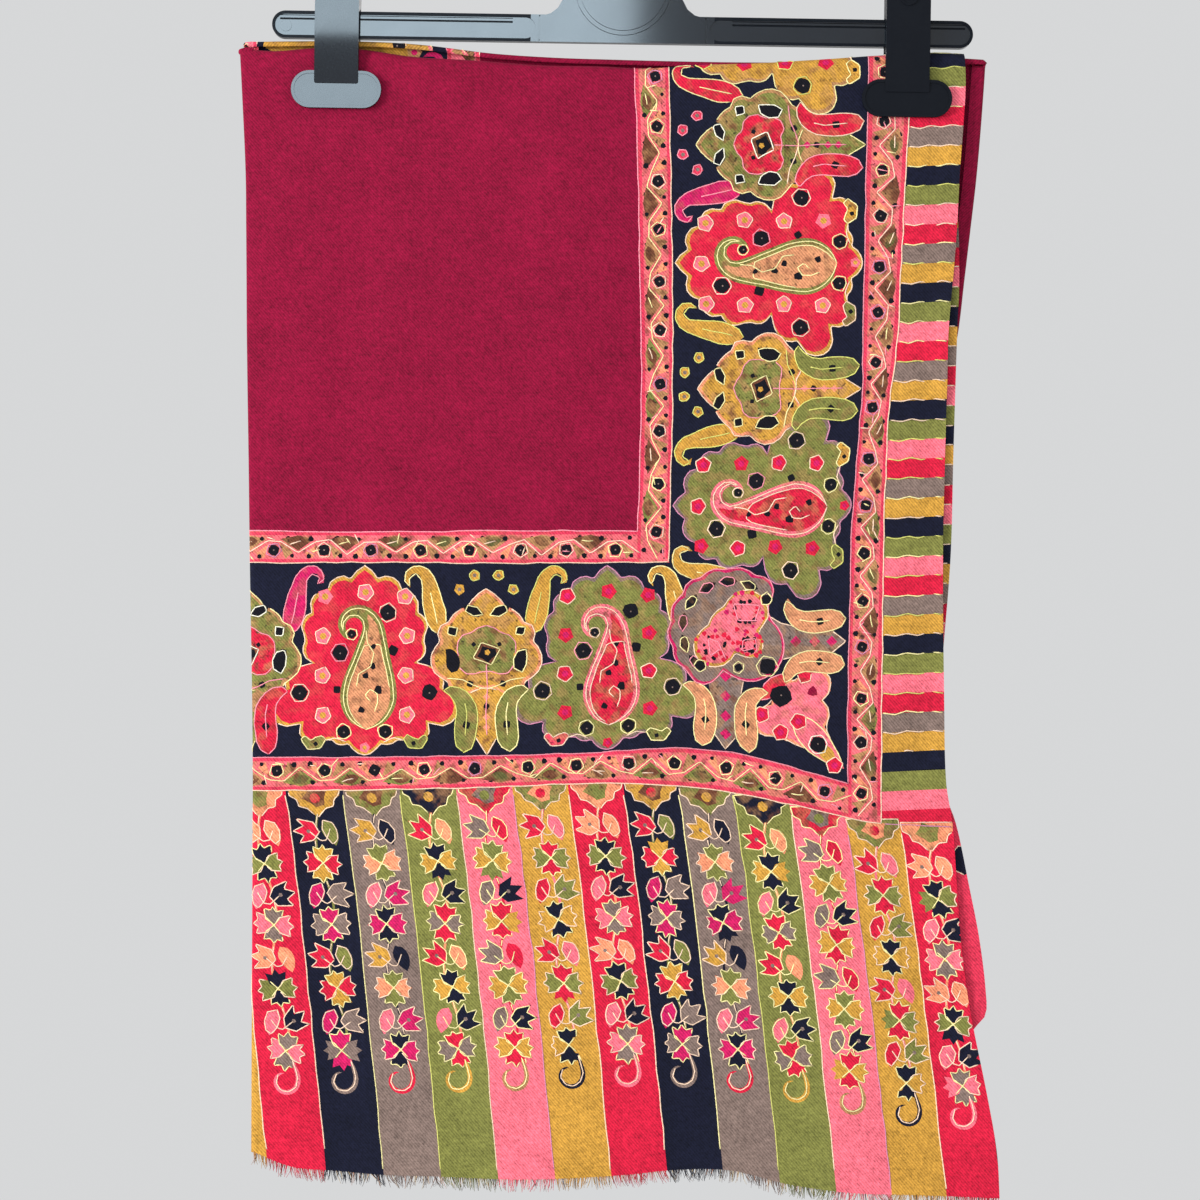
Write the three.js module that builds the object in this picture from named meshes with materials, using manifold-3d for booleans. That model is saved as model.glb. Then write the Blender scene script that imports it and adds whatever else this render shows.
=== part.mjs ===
// A printed and hand-embroidered shawl, folded lengthwise and then crosswise, hung by its folded top edge
// in the two clips of a plastic hanger.
//
// Millimetres, +Z up. The shawl's front faces -Y. The origin is the inside top of the hook's bow, where a
// rail carries the hanger. "drop" is a distance below the middle of the hanger's bar, "across" runs from 0
// at the left edge of a layer to 1 at its right edge, and x is measured from the middle of the bar.
import * as THREE from 'three';
import { mergeVertices } from 'three/addons/utils/BufferGeometryUtils.js';
import Module from 'manifold-3d';

const wasm = await Module();
wasm.setup();

// ---------------------------------------------------------------- driving dimensions

const GAP = 0.3; // between pieces that touch
const WALL = 1.2; // cloth
const HOOK_TO_BAR = 120; // inside top of the hook to the middle of the bar
const LEAN = THREE.MathUtils.degToRad(0.9); // the loaded hanger hangs a little lower at its right end

const STACK_LOOSE = 11; // all the layers together, where nothing presses them
const STACK_PINCHED = 8.8; // in the jaws of a clip
const STACK_HEM = 13; // at the open end
const PINCH_DROP = 44; // the layers are pressed from the top down to here
const PINCH_REACH = 26; // how far past a clip's pad they stay pressed
const HEM_FLARE_FROM = 380; // drop at which the open end starts to spread
const HEM_FLARE_TO = 570;

const FOLD_RADIUS = 1.3; // middle of the wall, where a layer turns round a side fold
const FOLD_TAIL = 3; // how far the layer runs on behind its fold
const TOP_RADIUS = 3.5; // middle of the wall, where a layer bends over the top
const UNDER_TOP_INSET = 6; // the inner layers' top edge below the outer one's
const UNDER_HEM_INSET = 5;
const RELIEF_LIMIT = 2.2; // where ridges or troughs meet, they don't add up past this
const INNER_RELIEF = 0.5; // share of the front's ridges and troughs that the layers behind it take up
const CORE_SIDE_INSET = 7;
const CORE_GAP = 0.8;
const EDGE_GAP = 0.9; // where two curved edges meet
const CORE_HEM_DROP = 548;
const CORE_ROUNDS = 3; // folded layers that show at the rim of the core
const CORE_TOP_INSET = 8; // the core's top edge below the outer layers'
const ROUND_PROUD = 1.3; // how far each of those rounds stands out
const ROUND_SHOULDER = 1.04; // and how far a quarter of the way round it
const BACK_HEM_DROP = 556;
const FRINGE_LENGTH = 6.5;
const FRINGE_WALL = 1.0;

const FRONT_COLUMNS = 24; // facets across a layer, shared with the fringe that hangs from it
const UNDER_COLUMNS = 14;
const CORE_CELLS = 12;

const BAR = { length: 351, height: 13.6, depth: 6, bevel: 0.8 };
const CHANNEL = { from: 43.6, to: 174, height: 10.6, depth: 0.7 };
const RIVET = { x: -168.6, rise: -0.6, radius: 2.9, depth: 5.8, bevel: 0.3 };
const ARCH = {
  footHalf: 42, // half its width where it leaves the bar
  waistHalf: 30,
  waistRise: 14,
  neckHalf: 17,
  neckRise: 38,
  flare: 1, // how far its curves bow out at the foot
  waistPull: 3, // and in above the waist
  waistPullRise: 27,
  sink: 1, // how far it reaches into the bar
  depth: 5,
};
const BOSS = { rise: 21, radius: 24, depth: 8, bevel: 1, dish: 20.5, dishDepth: 0.9 };
const SOCKET = { radius: 4.75, footRadius: 5.35, top: 58, bottom: 38, sides: 16 };
const HOOK = { wire: 1.8, bow: 18, joinAngle: -50, tipAngle: 205, shank: 48 };

const CLIP_X = 142.7;
const ARM = { width: 22, top: 22, bottom: 29.8, depth: 4.6, thin: 3.1, bendDrop: 8 };
const PAD = { drop: 32.8, width: 45, height: 18.6, depth: 3, bevel: 0.5, rim: 1.5, dish: 0.5 };
const SADDLE = { bottom: 7.3, radius: 2 };
const JOINT_TOLERANCE = 1e-4; // corners closer than this are one
const CURVE_SEGMENTS = 6;

// ---------------------------------------------------------------- outlines of the layers

// Side edges at each drop: the front layer's left fold and right selvedge, the selvedge of the layer under
// it, and the back layer's two folds.
const SIDES = [
  { drop: 5, fold: -191.9, selvedge: 170.9, under: 165.0, backLeft: -189.6, backFold: 182.9 },
  { drop: 30, fold: -190.6, selvedge: 171.6, under: 166.0, backLeft: -189.0, backFold: 181.4 },
  { drop: 72, fold: -188.7, selvedge: 168.7, under: 166.0, backLeft: -187.0, backFold: 178.0 },
  { drop: 100, fold: -188.4, selvedge: 167.2, under: 168.2, backLeft: -185.8, backFold: 174.8 },
  { drop: 126, fold: -188.2, selvedge: 165.2, under: 168.6, backLeft: -185.0, backFold: 171.7 },
  { drop: 151, fold: -188.1, selvedge: 163.0, under: 167.6, backLeft: -184.5, backFold: 168.7 },
  { drop: 175, fold: -187.8, selvedge: 162.4, under: 166.8, backLeft: -184.2, backFold: 164.0 },
  { drop: 215, fold: -187.2, selvedge: 161.2, under: 165.6, backLeft: -183.8, backFold: 159.0 },
  { drop: 265, fold: -186.6, selvedge: 160.2, under: 164.2, backLeft: -183.4, backFold: 156.8 },
  { drop: 336, fold: -185.4, selvedge: 160.8, under: 159.0, backLeft: -182.6, backFold: 156.0 },
  { drop: 377, fold: -185.1, selvedge: 161.8, under: 160.0, backLeft: -182.4, backFold: 156.0 },
  { drop: 398, fold: -185.2, selvedge: 165.0, under: 167.0, backLeft: -182.3, backFold: 156.2 },
  { drop: 429, fold: -185.3, selvedge: 167.2, under: 173.5, backLeft: -182.2, backFold: 156.6 },
  { drop: 456, fold: -185.4, selvedge: 169.2, under: 178.7, backLeft: -182.2, backFold: 157.0 },
  { drop: 483, fold: -185.5, selvedge: 172.4, under: 181.9, backLeft: -182.2, backFold: 157.4 },
  { drop: 494, fold: -185.5, selvedge: 174.3, under: 181.4, backLeft: -182.2, backFold: 157.6 },
  { drop: 503, fold: -185.6, selvedge: 176.0, under: 174.0, backLeft: -182.3, backFold: 157.8 },
  { drop: 536, fold: -185.7, selvedge: 182.7, under: 171.0, backLeft: -182.4, backFold: 158.4 },
  { drop: 563, fold: -185.8, selvedge: 187.2, under: 171.5, backLeft: -182.6, backFold: 159.0 },
  { drop: 590, fold: -185.9, selvedge: 188.6, under: 172.0, backLeft: -182.8, backFold: 159.5 },
];

// Ends of the layers at each place across: the top edges of the front and back layers, and the front hem.
const ENDS = [
  { across: 0.0, frontTop: 9.6, backTop: 5.8, hem: 561.8 },
  { across: 0.05, frontTop: 10.5, backTop: 5.6, hem: 569.0 },
  { across: 0.105, frontTop: 9.0, backTop: 5.5, hem: 571.0 },
  { across: 0.168, frontTop: 9.8, backTop: 5.8, hem: 573.0 },
  { across: 0.24, frontTop: 13.5, backTop: 7.4, hem: 573.8 },
  { across: 0.33, frontTop: 15.5, backTop: 11.4, hem: 575.0 },
  { across: 0.418, frontTop: 17.8, backTop: 13.6, hem: 574.8 },
  { across: 0.5, frontTop: 18.3, backTop: 14.6, hem: 573.0 },
  { across: 0.56, frontTop: 19.3, backTop: 15.2, hem: 570.8 },
  { across: 0.64, frontTop: 17.5, backTop: 15.8, hem: 571.0 },
  { across: 0.72, frontTop: 16.6, backTop: 16.0, hem: 578.0 },
  { across: 0.8, frontTop: 14.9, backTop: 15.6, hem: 581.8 },
  { across: 0.874, frontTop: 13.0, backTop: 14.6, hem: 583.0 },
  { across: 0.956, frontTop: 11.6, backTop: 14.0, hem: 584.3 },
  { across: 1.0, frontTop: 12.0, backTop: 14.8, hem: 584.8 },
];

// Soft ridges and troughs that run from one place to another, standing out of the sheet by their height.
const CREASES = [
  { x: -128, drop: 42, toX: -30, toDrop: 118, width: 17, height: -1.6 },
  { x: 122, drop: 46, toX: 20, toDrop: 122, width: 19, height: -1.9 },
  { x: -146, drop: 48, toX: -162, toDrop: 210, width: 15, height: 1.3 },
  { x: -60, drop: 24, toX: 70, toDrop: 27, width: 12, height: -1.5 },
  { x: 154, drop: 70, toX: 152, toDrop: 370, width: 3.6, height: -1.5 },
  { x: -95, drop: 150, toX: -70, toDrop: 420, width: 30, height: 1.2 },
  { x: 25, drop: 140, toX: 45, toDrop: 360, width: 26, height: -1.1 },
  { x: -150, drop: 380, toX: -138, toDrop: 590, width: 15, height: -1.7 },
  { x: -74, drop: 400, toX: -52, toDrop: 590, width: 18, height: 1.8 },
  { x: 12, drop: 410, toX: 42, toDrop: 590, width: 16, height: -1.8 },
  { x: 88, drop: 400, toX: 116, toDrop: 590, width: 17, height: 2.0 },
  { x: 140, drop: 392, toX: 168, toDrop: 590, width: 11, height: -1.9 },
  { x: -116, drop: 36, toX: -52, toDrop: 70, width: 9, height: -1.3 },
  { x: -160, drop: 44, toX: -178, toDrop: 130, width: 9, height: 1.2 },
  { x: -112, drop: 120, toX: -122, toDrop: 245, width: 13, height: 1.1 },
  { x: -30, drop: 60, toX: -34, toDrop: 236, width: 15, height: 1.0 },
  { x: 108, drop: 44, toX: 64, toDrop: 70, width: 9, height: -1.2 },
];

/** The smooth line through one column of a table, as a function of another column. */
function along(rows, key, column) {
  const slopes = rows.map((row, i) => {
    const before = rows[Math.max(i - 1, 0)];
    const after = rows[Math.min(i + 1, rows.length - 1)];
    return (after[column] - before[column]) / (after[key] - before[key]);
  });
  return (value) => {
    let i = 0;
    while (i < rows.length - 2 && value > rows[i + 1][key]) i += 1;
    const span = rows[i + 1][key] - rows[i][key];
    const t = THREE.MathUtils.clamp((value - rows[i][key]) / span, 0, 1);
    const rise = rows[i + 1][column] - rows[i][column];
    const bend = span * (slopes[i] * t * (1 - t) ** 2 - slopes[i + 1] * t ** 2 * (1 - t));
    return rows[i][column] + rise * t * t * (3 - 2 * t) + bend;
  };
}

const side = {
  fold: along(SIDES, 'drop', 'fold'),
  selvedge: along(SIDES, 'drop', 'selvedge'),
  under: along(SIDES, 'drop', 'under'),
  backLeft: along(SIDES, 'drop', 'backLeft'),
  backFold: along(SIDES, 'drop', 'backFold'),
};
const frontTop = along(ENDS, 'across', 'frontTop');
const backTop = along(ENDS, 'across', 'backTop');
const frontHem = along(ENDS, 'across', 'hem');

// ---------------------------------------------------------------- how the stack of layers lies

/** How far the sheet stands out towards the front at a place, from its soft ridges and troughs. */
function relief(x, drop) {
  let out = 0;
  for (const crease of CREASES) {
    const run = new THREE.Vector2(crease.toX - crease.x, crease.toDrop - crease.drop);
    const from = new THREE.Vector2(x - crease.x, drop - crease.drop);
    const t = THREE.MathUtils.clamp(from.dot(run) / run.lengthSq(), 0, 1);
    const away = from.distanceTo(run.clone().multiplyScalar(t));
    out += crease.height * Math.exp(-((away / crease.width) ** 2));
  }
  return RELIEF_LIMIT * Math.tanh(out / RELIEF_LIMIT) * (1 - pinch(x, drop));
}

/** How firmly the clips press the layers at a place, from 0 to 1. */
function pinch(x, drop) {
  const aside = Math.max(Math.abs(Math.abs(x) - CLIP_X) - PAD.width / 2, 0);
  const below = Math.max(drop - PINCH_DROP, 0);
  return Math.exp(-((Math.hypot(aside, below) / PINCH_REACH) ** 2));
}

/** The thickness of the whole stack at a place. */
function stack(x, drop) {
  const flare = THREE.MathUtils.smoothstep(drop, HEM_FLARE_FROM, HEM_FLARE_TO);
  const open = STACK_LOOSE + (STACK_HEM - STACK_LOOSE) * flare;
  return open + (STACK_PINCHED - open) * pinch(x, drop);
}

/** The y of the front layer's outer face at a place. */
const faceY = (x, drop) => -stack(x, drop) / 2 - relief(x, drop);

/** The same for the layers inside, which lie flatter. */
const innerY = (x, drop) => -stack(x, drop) / 2 - INNER_RELIEF * relief(x, drop);

/** The y of the back layer's outer face at a place. */
const backY = (x, drop) => stack(x, drop) / 2 - INNER_RELIEF * relief(x, drop);

/** Even steps from one value to another. */
function steps(from, to, count) {
  return Array.from({ length: count + 1 }, (_, i) => from + ((to - from) * i) / count);
}

// ---------------------------------------------------------------- closed solids from grids of points

/**
 * A closed solid between two grids of points, both laid out as rows down and columns across. Its rim may be
 * filled out by a profile: each entry says how far from the first grid to the second a rim point lies, and
 * how far it stands out of the straight edge.
 */
function slab(outer, inner, profile = []) {
  const rows = outer.length;
  const columns = outer[0].length;
  const points = [...outer.flat(), ...inner.flat()];
  const faces = [];
  const quad = (a, b, c, d) => faces.push(a, b, c, a, c, d);
  const at = (layer, row, column) => layer * rows * columns + row * columns + column;
  for (let row = 0; row < rows - 1; row += 1) {
    for (let column = 0; column < columns - 1; column += 1) {
      quad(at(0, row, column), at(0, row + 1, column), at(0, row + 1, column + 1), at(0, row, column + 1));
      quad(at(1, row, column), at(1, row, column + 1), at(1, row + 1, column + 1), at(1, row + 1, column));
    }
  }
  const ring = [];
  for (let row = 0; row < rows - 1; row += 1) ring.push([row, 0]);
  for (let column = 0; column < columns - 1; column += 1) ring.push([rows - 1, column]);
  for (let row = rows - 1; row > 0; row -= 1) ring.push([row, columns - 1]);
  for (let column = columns - 1; column > 0; column -= 1) ring.push([0, column]);
  const middle = outer[Math.floor(rows / 2)][Math.floor(columns / 2)];
  const strips = ring.map(([row, column]) => {
    const start = outer[row][column];
    const end = inner[row][column];
    const out = new THREE.Vector3();
    if (column === 0 || column === columns - 1) out.x = Math.sign(start.x - middle.x);
    if (row === 0 || row === rows - 1) out.z = Math.sign(start.z - middle.z);
    out.normalize();
    const between = profile.map(({ through, proud }) => {
      points.push(start.clone().lerp(end, through).addScaledVector(out, proud));
      return points.length - 1;
    });
    return [at(0, row, column), ...between, at(1, row, column)];
  });
  strips.forEach((strip, i) => {
    const next = strips[(i + 1) % strips.length];
    for (let k = 0; k < strip.length - 1; k += 1) quad(strip[k], strip[k + 1], next[k + 1], next[k]);
  });
  const numbers = points.flatMap((point) => [point.x, point.y, point.z]);
  const geometry = new THREE.BufferGeometry();
  geometry.setAttribute('position', new THREE.Float32BufferAttribute(numbers, 3));
  geometry.setIndex(faces);
  geometry.computeVertexNormals();
  return geometry;
}

/** A point of a layer, given where it lies and how far behind the front. */
const placed = (x, y, drop) => new THREE.Vector3(x, y, -drop);

// ---------------------------------------------------------------- the shawl's layers

/**
 * An outer layer: a wall that turns round a side fold, runs on behind it, and bends over the top. The fold is
 * drawn at the left with the face towards -Y; the back layer passes flip, which draws it at its right edge
 * with the face towards +Y.
 */
function outerLayer({ edge, farEdge, top, hem, face, columns, rows, flip, farFold }) {
  const turn = flip ? -1 : 1;
  const sideTurns = [
    { along: -FOLD_TAIL, angle: -Math.PI / 2 },
    ...steps(-Math.PI / 2, Math.PI / 2, 5).map((angle) => ({ along: 0, angle })),
  ];
  const farTurns = farFold ? [...sideTurns].reverse() : [];
  const across = steps(0, 1, columns).slice(1, farFold ? -1 : undefined);
  const stations = [
    ...sideTurns.map((side) => ({ ...side, across: 0, sign: 1 })),
    ...across.map((place) => ({ along: 0, angle: Math.PI / 2, across: place, sign: 1 })),
    ...farTurns.map((side) => ({ ...side, across: 1, sign: -1 })),
  ];
  const bends = steps(0, Math.PI / 2, 4).map((angle) => ({ angle, down: 0 }));
  const falls = steps(0, 1, rows).slice(1).map((down) => ({ angle: Math.PI / 2, down }));
  const outer = [];
  const inner = [];
  for (const bend of [...bends, ...falls]) {
    const outerRow = [];
    const innerRow = [];
    for (const station of stations) {
      const place = flip ? 1 - station.across : station.across;
      const topDrop = top(place) + WALL / 2 + TOP_RADIUS;
      const drop = topDrop + (hem(place) - topDrop) * bend.down;
      const near = edge(drop) + turn * (WALL / 2 + FOLD_RADIUS);
      const far = farEdge(drop) - (farFold ? turn * (WALL / 2 + FOLD_RADIUS) : 0);
      const flat = near + (far - near) * station.across;
      const swing = FOLD_RADIUS * Math.cos(station.angle) + station.along;
      const x = flat - turn * station.sign * swing;
      const sunk = FOLD_RADIUS * (1 - Math.sin(station.angle));
      const lift = TOP_RADIUS - sunk;
      const y = face(flat, drop) + turn * (WALL / 2 + TOP_RADIUS - lift * Math.sin(bend.angle));
      const centre = placed(x, y, drop - lift * Math.cos(bend.angle));
      const outward = new THREE.Vector3(
        -turn * station.sign * Math.cos(station.angle),
        -turn * Math.sin(station.angle) * Math.sin(bend.angle),
        Math.sin(station.angle) * Math.cos(bend.angle),
      );
      outerRow.push(centre.clone().addScaledVector(outward, WALL / 2));
      innerRow.push(centre.clone().addScaledVector(outward, -WALL / 2));
    }
    if (flip) {
      outerRow.reverse();
      innerRow.reverse();
    }
    outer.push(outerRow);
    inner.push(innerRow);
  }
  return flip ? slab(inner, outer) : slab(outer, inner);
}

/** The printed front, from its right selvedge to its left fold and a little way behind. */
const frontFall = () =>
  outerLayer({
    edge: side.fold,
    farEdge: side.selvedge,
    top: frontTop,
    hem: frontHem,
    face: faceY,
    columns: FRONT_COLUMNS,
    rows: 22,
    flip: false,
    farFold: false,
  });

/** The back, folded forwards at both sides and closed at the bottom by its own fold. */
const backFall = () =>
  outerLayer({
    edge: side.backFold,
    farEdge: side.backLeft,
    top: backTop,
    hem: () => BACK_HEM_DROP,
    face: backY,
    columns: 16,
    rows: 18,
    flip: true,
    farFold: true,
  });

/** A wall between two side edges, behind a face by a depth. */
function flatLayer({ left, right, top, hem, face, depth, wall, columns, rows }) {
  const grid = (behind) =>
    steps(0, 1, rows).map((down) =>
      steps(0, 1, columns).map((across) => {
        const drop = top(across) + (hem(across) - top(across)) * down;
        const x = left(drop) + (right(drop) - left(drop)) * across;
        return placed(x, face(x, drop) + behind, drop);
      }),
    );
  return slab(grid(depth), grid(depth + wall));
}

const UNDER_DEPTH = 2 * FOLD_RADIUS; // front face of the under layer, level with the front's tail

/** The other half of the printed end, which the left fold joins to the front. */
const underFall = () =>
  flatLayer({
    left: (drop) => side.fold(drop) + WALL / 2 + FOLD_RADIUS + FOLD_TAIL + EDGE_GAP,
    right: side.under,
    top: (across) => frontTop(across) + UNDER_TOP_INSET,
    hem: (across) => frontHem(across) - UNDER_HEM_INSET,
    face: innerY,
    depth: UNDER_DEPTH,
    wall: WALL,
    columns: UNDER_COLUMNS,
    rows: 26,
  });

/** A ravelled fringe as the plain strip that its threads reach. */
const fringe = ({ left, right, hem, face, depth, columns }) =>
  flatLayer({
    left,
    right,
    top: (across) => hem(across) + GAP,
    hem: (across) => hem(across) + GAP + FRINGE_LENGTH,
    face,
    depth: depth + (WALL - FRINGE_WALL) / 2,
    wall: FRINGE_WALL,
    columns,
    rows: 1,
  });

const frontFringe = () =>
  fringe({
    left: (drop) => side.fold(drop) + WALL / 2 + FOLD_RADIUS,
    right: side.selvedge,
    hem: frontHem,
    face: faceY,
    depth: 0,
    columns: FRONT_COLUMNS,
  });

const underFringe = () =>
  fringe({
    left: (drop) => side.fold(drop) + WALL / 2 + FOLD_RADIUS + FOLD_TAIL + EDGE_GAP,
    right: side.under,
    hem: (across) => frontHem(across) - UNDER_HEM_INSET,
    face: innerY,
    depth: UNDER_DEPTH,
    columns: UNDER_COLUMNS,
  });

/** The layers that never show, as one solid with the rounds of their folds along its rim. */
function coreLayers() {
  const inset = CORE_SIDE_INSET;
  const top = (across) => Math.max(frontTop(across), backTop(across)) + CORE_TOP_INSET;
  const grid = (y) =>
    steps(0, 1, CORE_CELLS).map((down) =>
      steps(0, 1, CORE_CELLS).map((across) => {
        const drop = top(across) + (CORE_HEM_DROP - top(across)) * down;
        const left = Math.max(side.fold(drop), side.backLeft(drop)) + inset;
        const right = Math.min(side.selvedge(drop), side.backFold(drop)) - inset;
        const x = left + (right - left) * across;
        return placed(x, y(x, drop), drop);
      }),
    );
  const profile = [];
  for (let round = 0; round < CORE_ROUNDS; round += 1) {
    if (round > 0) profile.push({ through: round / CORE_ROUNDS, proud: 0 });
    profile.push({ through: (round + 1 / 4) / CORE_ROUNDS, proud: ROUND_SHOULDER });
    profile.push({ through: (round + 1 / 2) / CORE_ROUNDS, proud: ROUND_PROUD });
    profile.push({ through: (round + 3 / 4) / CORE_ROUNDS, proud: ROUND_SHOULDER });
  }
  const front = (x, drop) => innerY(x, drop) + UNDER_DEPTH + WALL + CORE_GAP;
  const back = (x, drop) => backY(x, drop) - WALL - CORE_GAP;
  return slab(grid(front), grid(back), profile);
}

// ---------------------------------------------------------------- the hanger

/** A geometry as a solid that can be joined and cut. */
function solid(geometry) {
  const bare = geometry.clone();
  bare.deleteAttribute('normal');
  bare.deleteAttribute('uv');
  const merged = mergeVertices(bare, JOINT_TOLERANCE);
  const mesh = new wasm.Mesh({
    numProp: 3,
    vertProperties: new Float32Array(merged.attributes.position.array),
    triVerts: new Uint32Array(merged.index.array),
  });
  return new wasm.Manifold(mesh);
}

/** The geometry of a joined or cut solid. */
function geometryOf(manifold) {
  const mesh = manifold.getMesh();
  const geometry = new THREE.BufferGeometry();
  geometry.setAttribute('position', new THREE.BufferAttribute(new Float32Array(mesh.vertProperties), 3));
  geometry.setIndex(new THREE.BufferAttribute(new Uint32Array(mesh.triVerts), 1));
  geometry.computeVertexNormals();
  return geometry;
}

/** A flat piece cut to an outline seen from the front, centred on a depth. */
function plate(outline, depth, y = 0, bevel = 0) {
  const geometry = new THREE.ExtrudeGeometry(outline, {
    depth: depth - 2 * bevel,
    bevelEnabled: bevel > 0,
    bevelSize: bevel,
    bevelThickness: bevel,
    bevelOffset: -bevel,
    bevelSegments: 1,
    curveSegments: CURVE_SEGMENTS,
  });
  geometry.translate(0, 0, -(depth - 2 * bevel) / 2);
  geometry.rotateX(Math.PI / 2);
  geometry.translate(0, y, 0);
  return geometry;
}

/** The outline of a bar with rounded ends or corners. */
function pill(width, height, x = 0, z = 0, radius = height / 2) {
  const [left, right, low, high] = [x - width / 2, x + width / 2, z - height / 2, z + height / 2];
  const shape = new THREE.Shape();
  shape.moveTo(left + radius, low);
  shape.lineTo(right - radius, low);
  shape.absarc(right - radius, low + radius, radius, -Math.PI / 2, 0);
  shape.lineTo(right, high - radius);
  shape.absarc(right - radius, high - radius, radius, 0, Math.PI / 2);
  shape.lineTo(left + radius, high);
  shape.absarc(left + radius, high - radius, radius, Math.PI / 2, Math.PI);
  shape.lineTo(left, low + radius);
  shape.absarc(left + radius, low + radius, radius, Math.PI, (3 * Math.PI) / 2);
  return shape;
}

/** A round outline. */
function disc(radius, x = 0, z = 0) {
  const shape = new THREE.Shape();
  shape.absarc(x, z, radius, 0, 2 * Math.PI);
  return shape;
}

/** The arch that carries the hook socket, as it stands on the bar. */
function archOutline() {
  const barTop = BAR.height / 2;
  const pull = ARCH.waistHalf - ARCH.waistPull;
  const shape = new THREE.Shape();
  shape.moveTo(-ARCH.footHalf, ARCH.sink - barTop);
  shape.lineTo(ARCH.footHalf, ARCH.sink - barTop);
  shape.lineTo(ARCH.footHalf, barTop - ARCH.sink);
  shape.quadraticCurveTo(ARCH.waistHalf + ARCH.flare, barTop, ARCH.waistHalf, ARCH.waistRise);
  shape.quadraticCurveTo(pull, ARCH.waistPullRise, ARCH.neckHalf, ARCH.neckRise);
  shape.lineTo(-ARCH.neckHalf, ARCH.neckRise);
  shape.quadraticCurveTo(-pull, ARCH.waistPullRise, -ARCH.waistHalf, ARCH.waistRise);
  shape.quadraticCurveTo(-ARCH.waistHalf - ARCH.flare, barTop, -ARCH.footHalf, barTop - ARCH.sink);
  shape.closePath();
  return shape;
}

/** The moulded bar with its arch, boss and hook socket. */
function hangerBody() {
  let body = solid(plate(pill(BAR.length, BAR.height), BAR.depth, 0, BAR.bevel));
  body = body.add(solid(plate(archOutline(), ARCH.depth)));
  const length = CHANNEL.to - CHANNEL.from;
  const middle = (CHANNEL.to + CHANNEL.from) / 2;
  for (const face of [-1, 1]) {
    for (const end of [-1, 1]) {
      const channel = pill(length, CHANNEL.height, end * middle);
      body = body.subtract(solid(plate(channel, 2 * CHANNEL.depth, (face * BAR.depth) / 2)));
    }
  }
  body = body.add(solid(plate(disc(BOSS.radius, 0, BOSS.rise), BOSS.depth, 0, BOSS.bevel)));
  for (const face of [-1, 1]) {
    const dish = disc(BOSS.dish, 0, BOSS.rise);
    body = body.subtract(solid(plate(dish, 2 * BOSS.dishDepth, (face * BOSS.depth) / 2)));
  }
  const tall = SOCKET.top - SOCKET.bottom;
  const socket = new THREE.CylinderGeometry(SOCKET.radius, SOCKET.footRadius, tall, SOCKET.sides);
  socket.rotateX(Math.PI / 2);
  socket.translate(0, 0, (SOCKET.top + SOCKET.bottom) / 2);
  body = body.add(solid(socket));
  const rivet = plate(disc(RIVET.radius, RIVET.x, RIVET.rise), RIVET.depth, 0, RIVET.bevel);
  return geometryOf(body.add(solid(rivet)));
}

/** The wire hook: a straight shank that bends into a round bow. Drawn about the inside top of the bow. */
function hangerHook() {
  const radius = HOOK.bow + HOOK.wire;
  const centre = new THREE.Vector3(0, 0, -HOOK.bow);
  const onBow = (degrees) => {
    const angle = THREE.MathUtils.degToRad(degrees);
    return new THREE.Vector3(radius * Math.cos(angle), 0, radius * Math.sin(angle)).add(centre);
  };
  const join = onBow(HOOK.joinAngle);
  const tilt = THREE.MathUtils.degToRad(HOOK.joinAngle);
  const bend = new THREE.Vector3(0, 0, join.z + (join.x * Math.cos(tilt)) / Math.sin(tilt));
  const shankTop = new THREE.Vector3(0, 0, -HOOK.shank);
  const path = new THREE.CurvePath();
  path.add(new THREE.LineCurve3(new THREE.Vector3(0, 0, -(HOOK_TO_BAR - SOCKET.top) + GAP), shankTop));
  path.add(new THREE.QuadraticBezierCurve3(shankTop, bend, join));
  class Bow extends THREE.Curve {
    getPoint(t, target = new THREE.Vector3()) {
      return target.copy(onBow(HOOK.joinAngle + (HOOK.tipAngle - HOOK.joinAngle) * t));
    }
  }
  path.add(new Bow());
  return new THREE.ExtrudeGeometry(disc(HOOK.wire), { extrudePath: path, steps: 44, curveSegments: 5 });
}

/** One jaw of a clip: an arm that hangs over the bar, thins towards its end, and joins a dished pad. */
function clipJaw(facing) {
  const inner = STACK_PINCHED / 2 + GAP;
  const profile = new THREE.Shape();
  profile.moveTo(inner, -ARM.bottom);
  profile.lineTo(inner + ARM.thin, -ARM.bottom);
  profile.lineTo(inner + ARM.depth, -ARM.bendDrop);
  profile.lineTo(inner + ARM.depth, ARM.top);
  profile.lineTo(inner, ARM.top);
  profile.closePath();
  const arm = new THREE.ExtrudeGeometry(profile, { depth: ARM.width, bevelEnabled: false });
  arm.translate(0, 0, -ARM.width / 2);
  arm.rotateX(Math.PI / 2);
  arm.rotateZ((facing * Math.PI) / 2);
  const padY = facing * (inner + PAD.depth / 2);
  const pad = plate(pill(PAD.width, PAD.height, 0, -PAD.drop), PAD.depth, padY, PAD.bevel);
  const dishOutline = pill(PAD.width - 2 * PAD.rim, PAD.height - 2 * PAD.rim, 0, -PAD.drop);
  const dish = plate(dishOutline, 2 * PAD.dish, facing * (inner + PAD.depth));
  return geometryOf(solid(pad).subtract(solid(dish)).add(solid(arm)));
}

/** The block that joins the two jaws above the bar. */
function clipSaddle() {
  const height = ARM.top - SADDLE.bottom;
  return plate(pill(ARM.width, height, 0, SADDLE.bottom + height / 2, SADDLE.radius), STACK_PINCHED);
}

// ---------------------------------------------------------------- finishes and assembly

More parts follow.
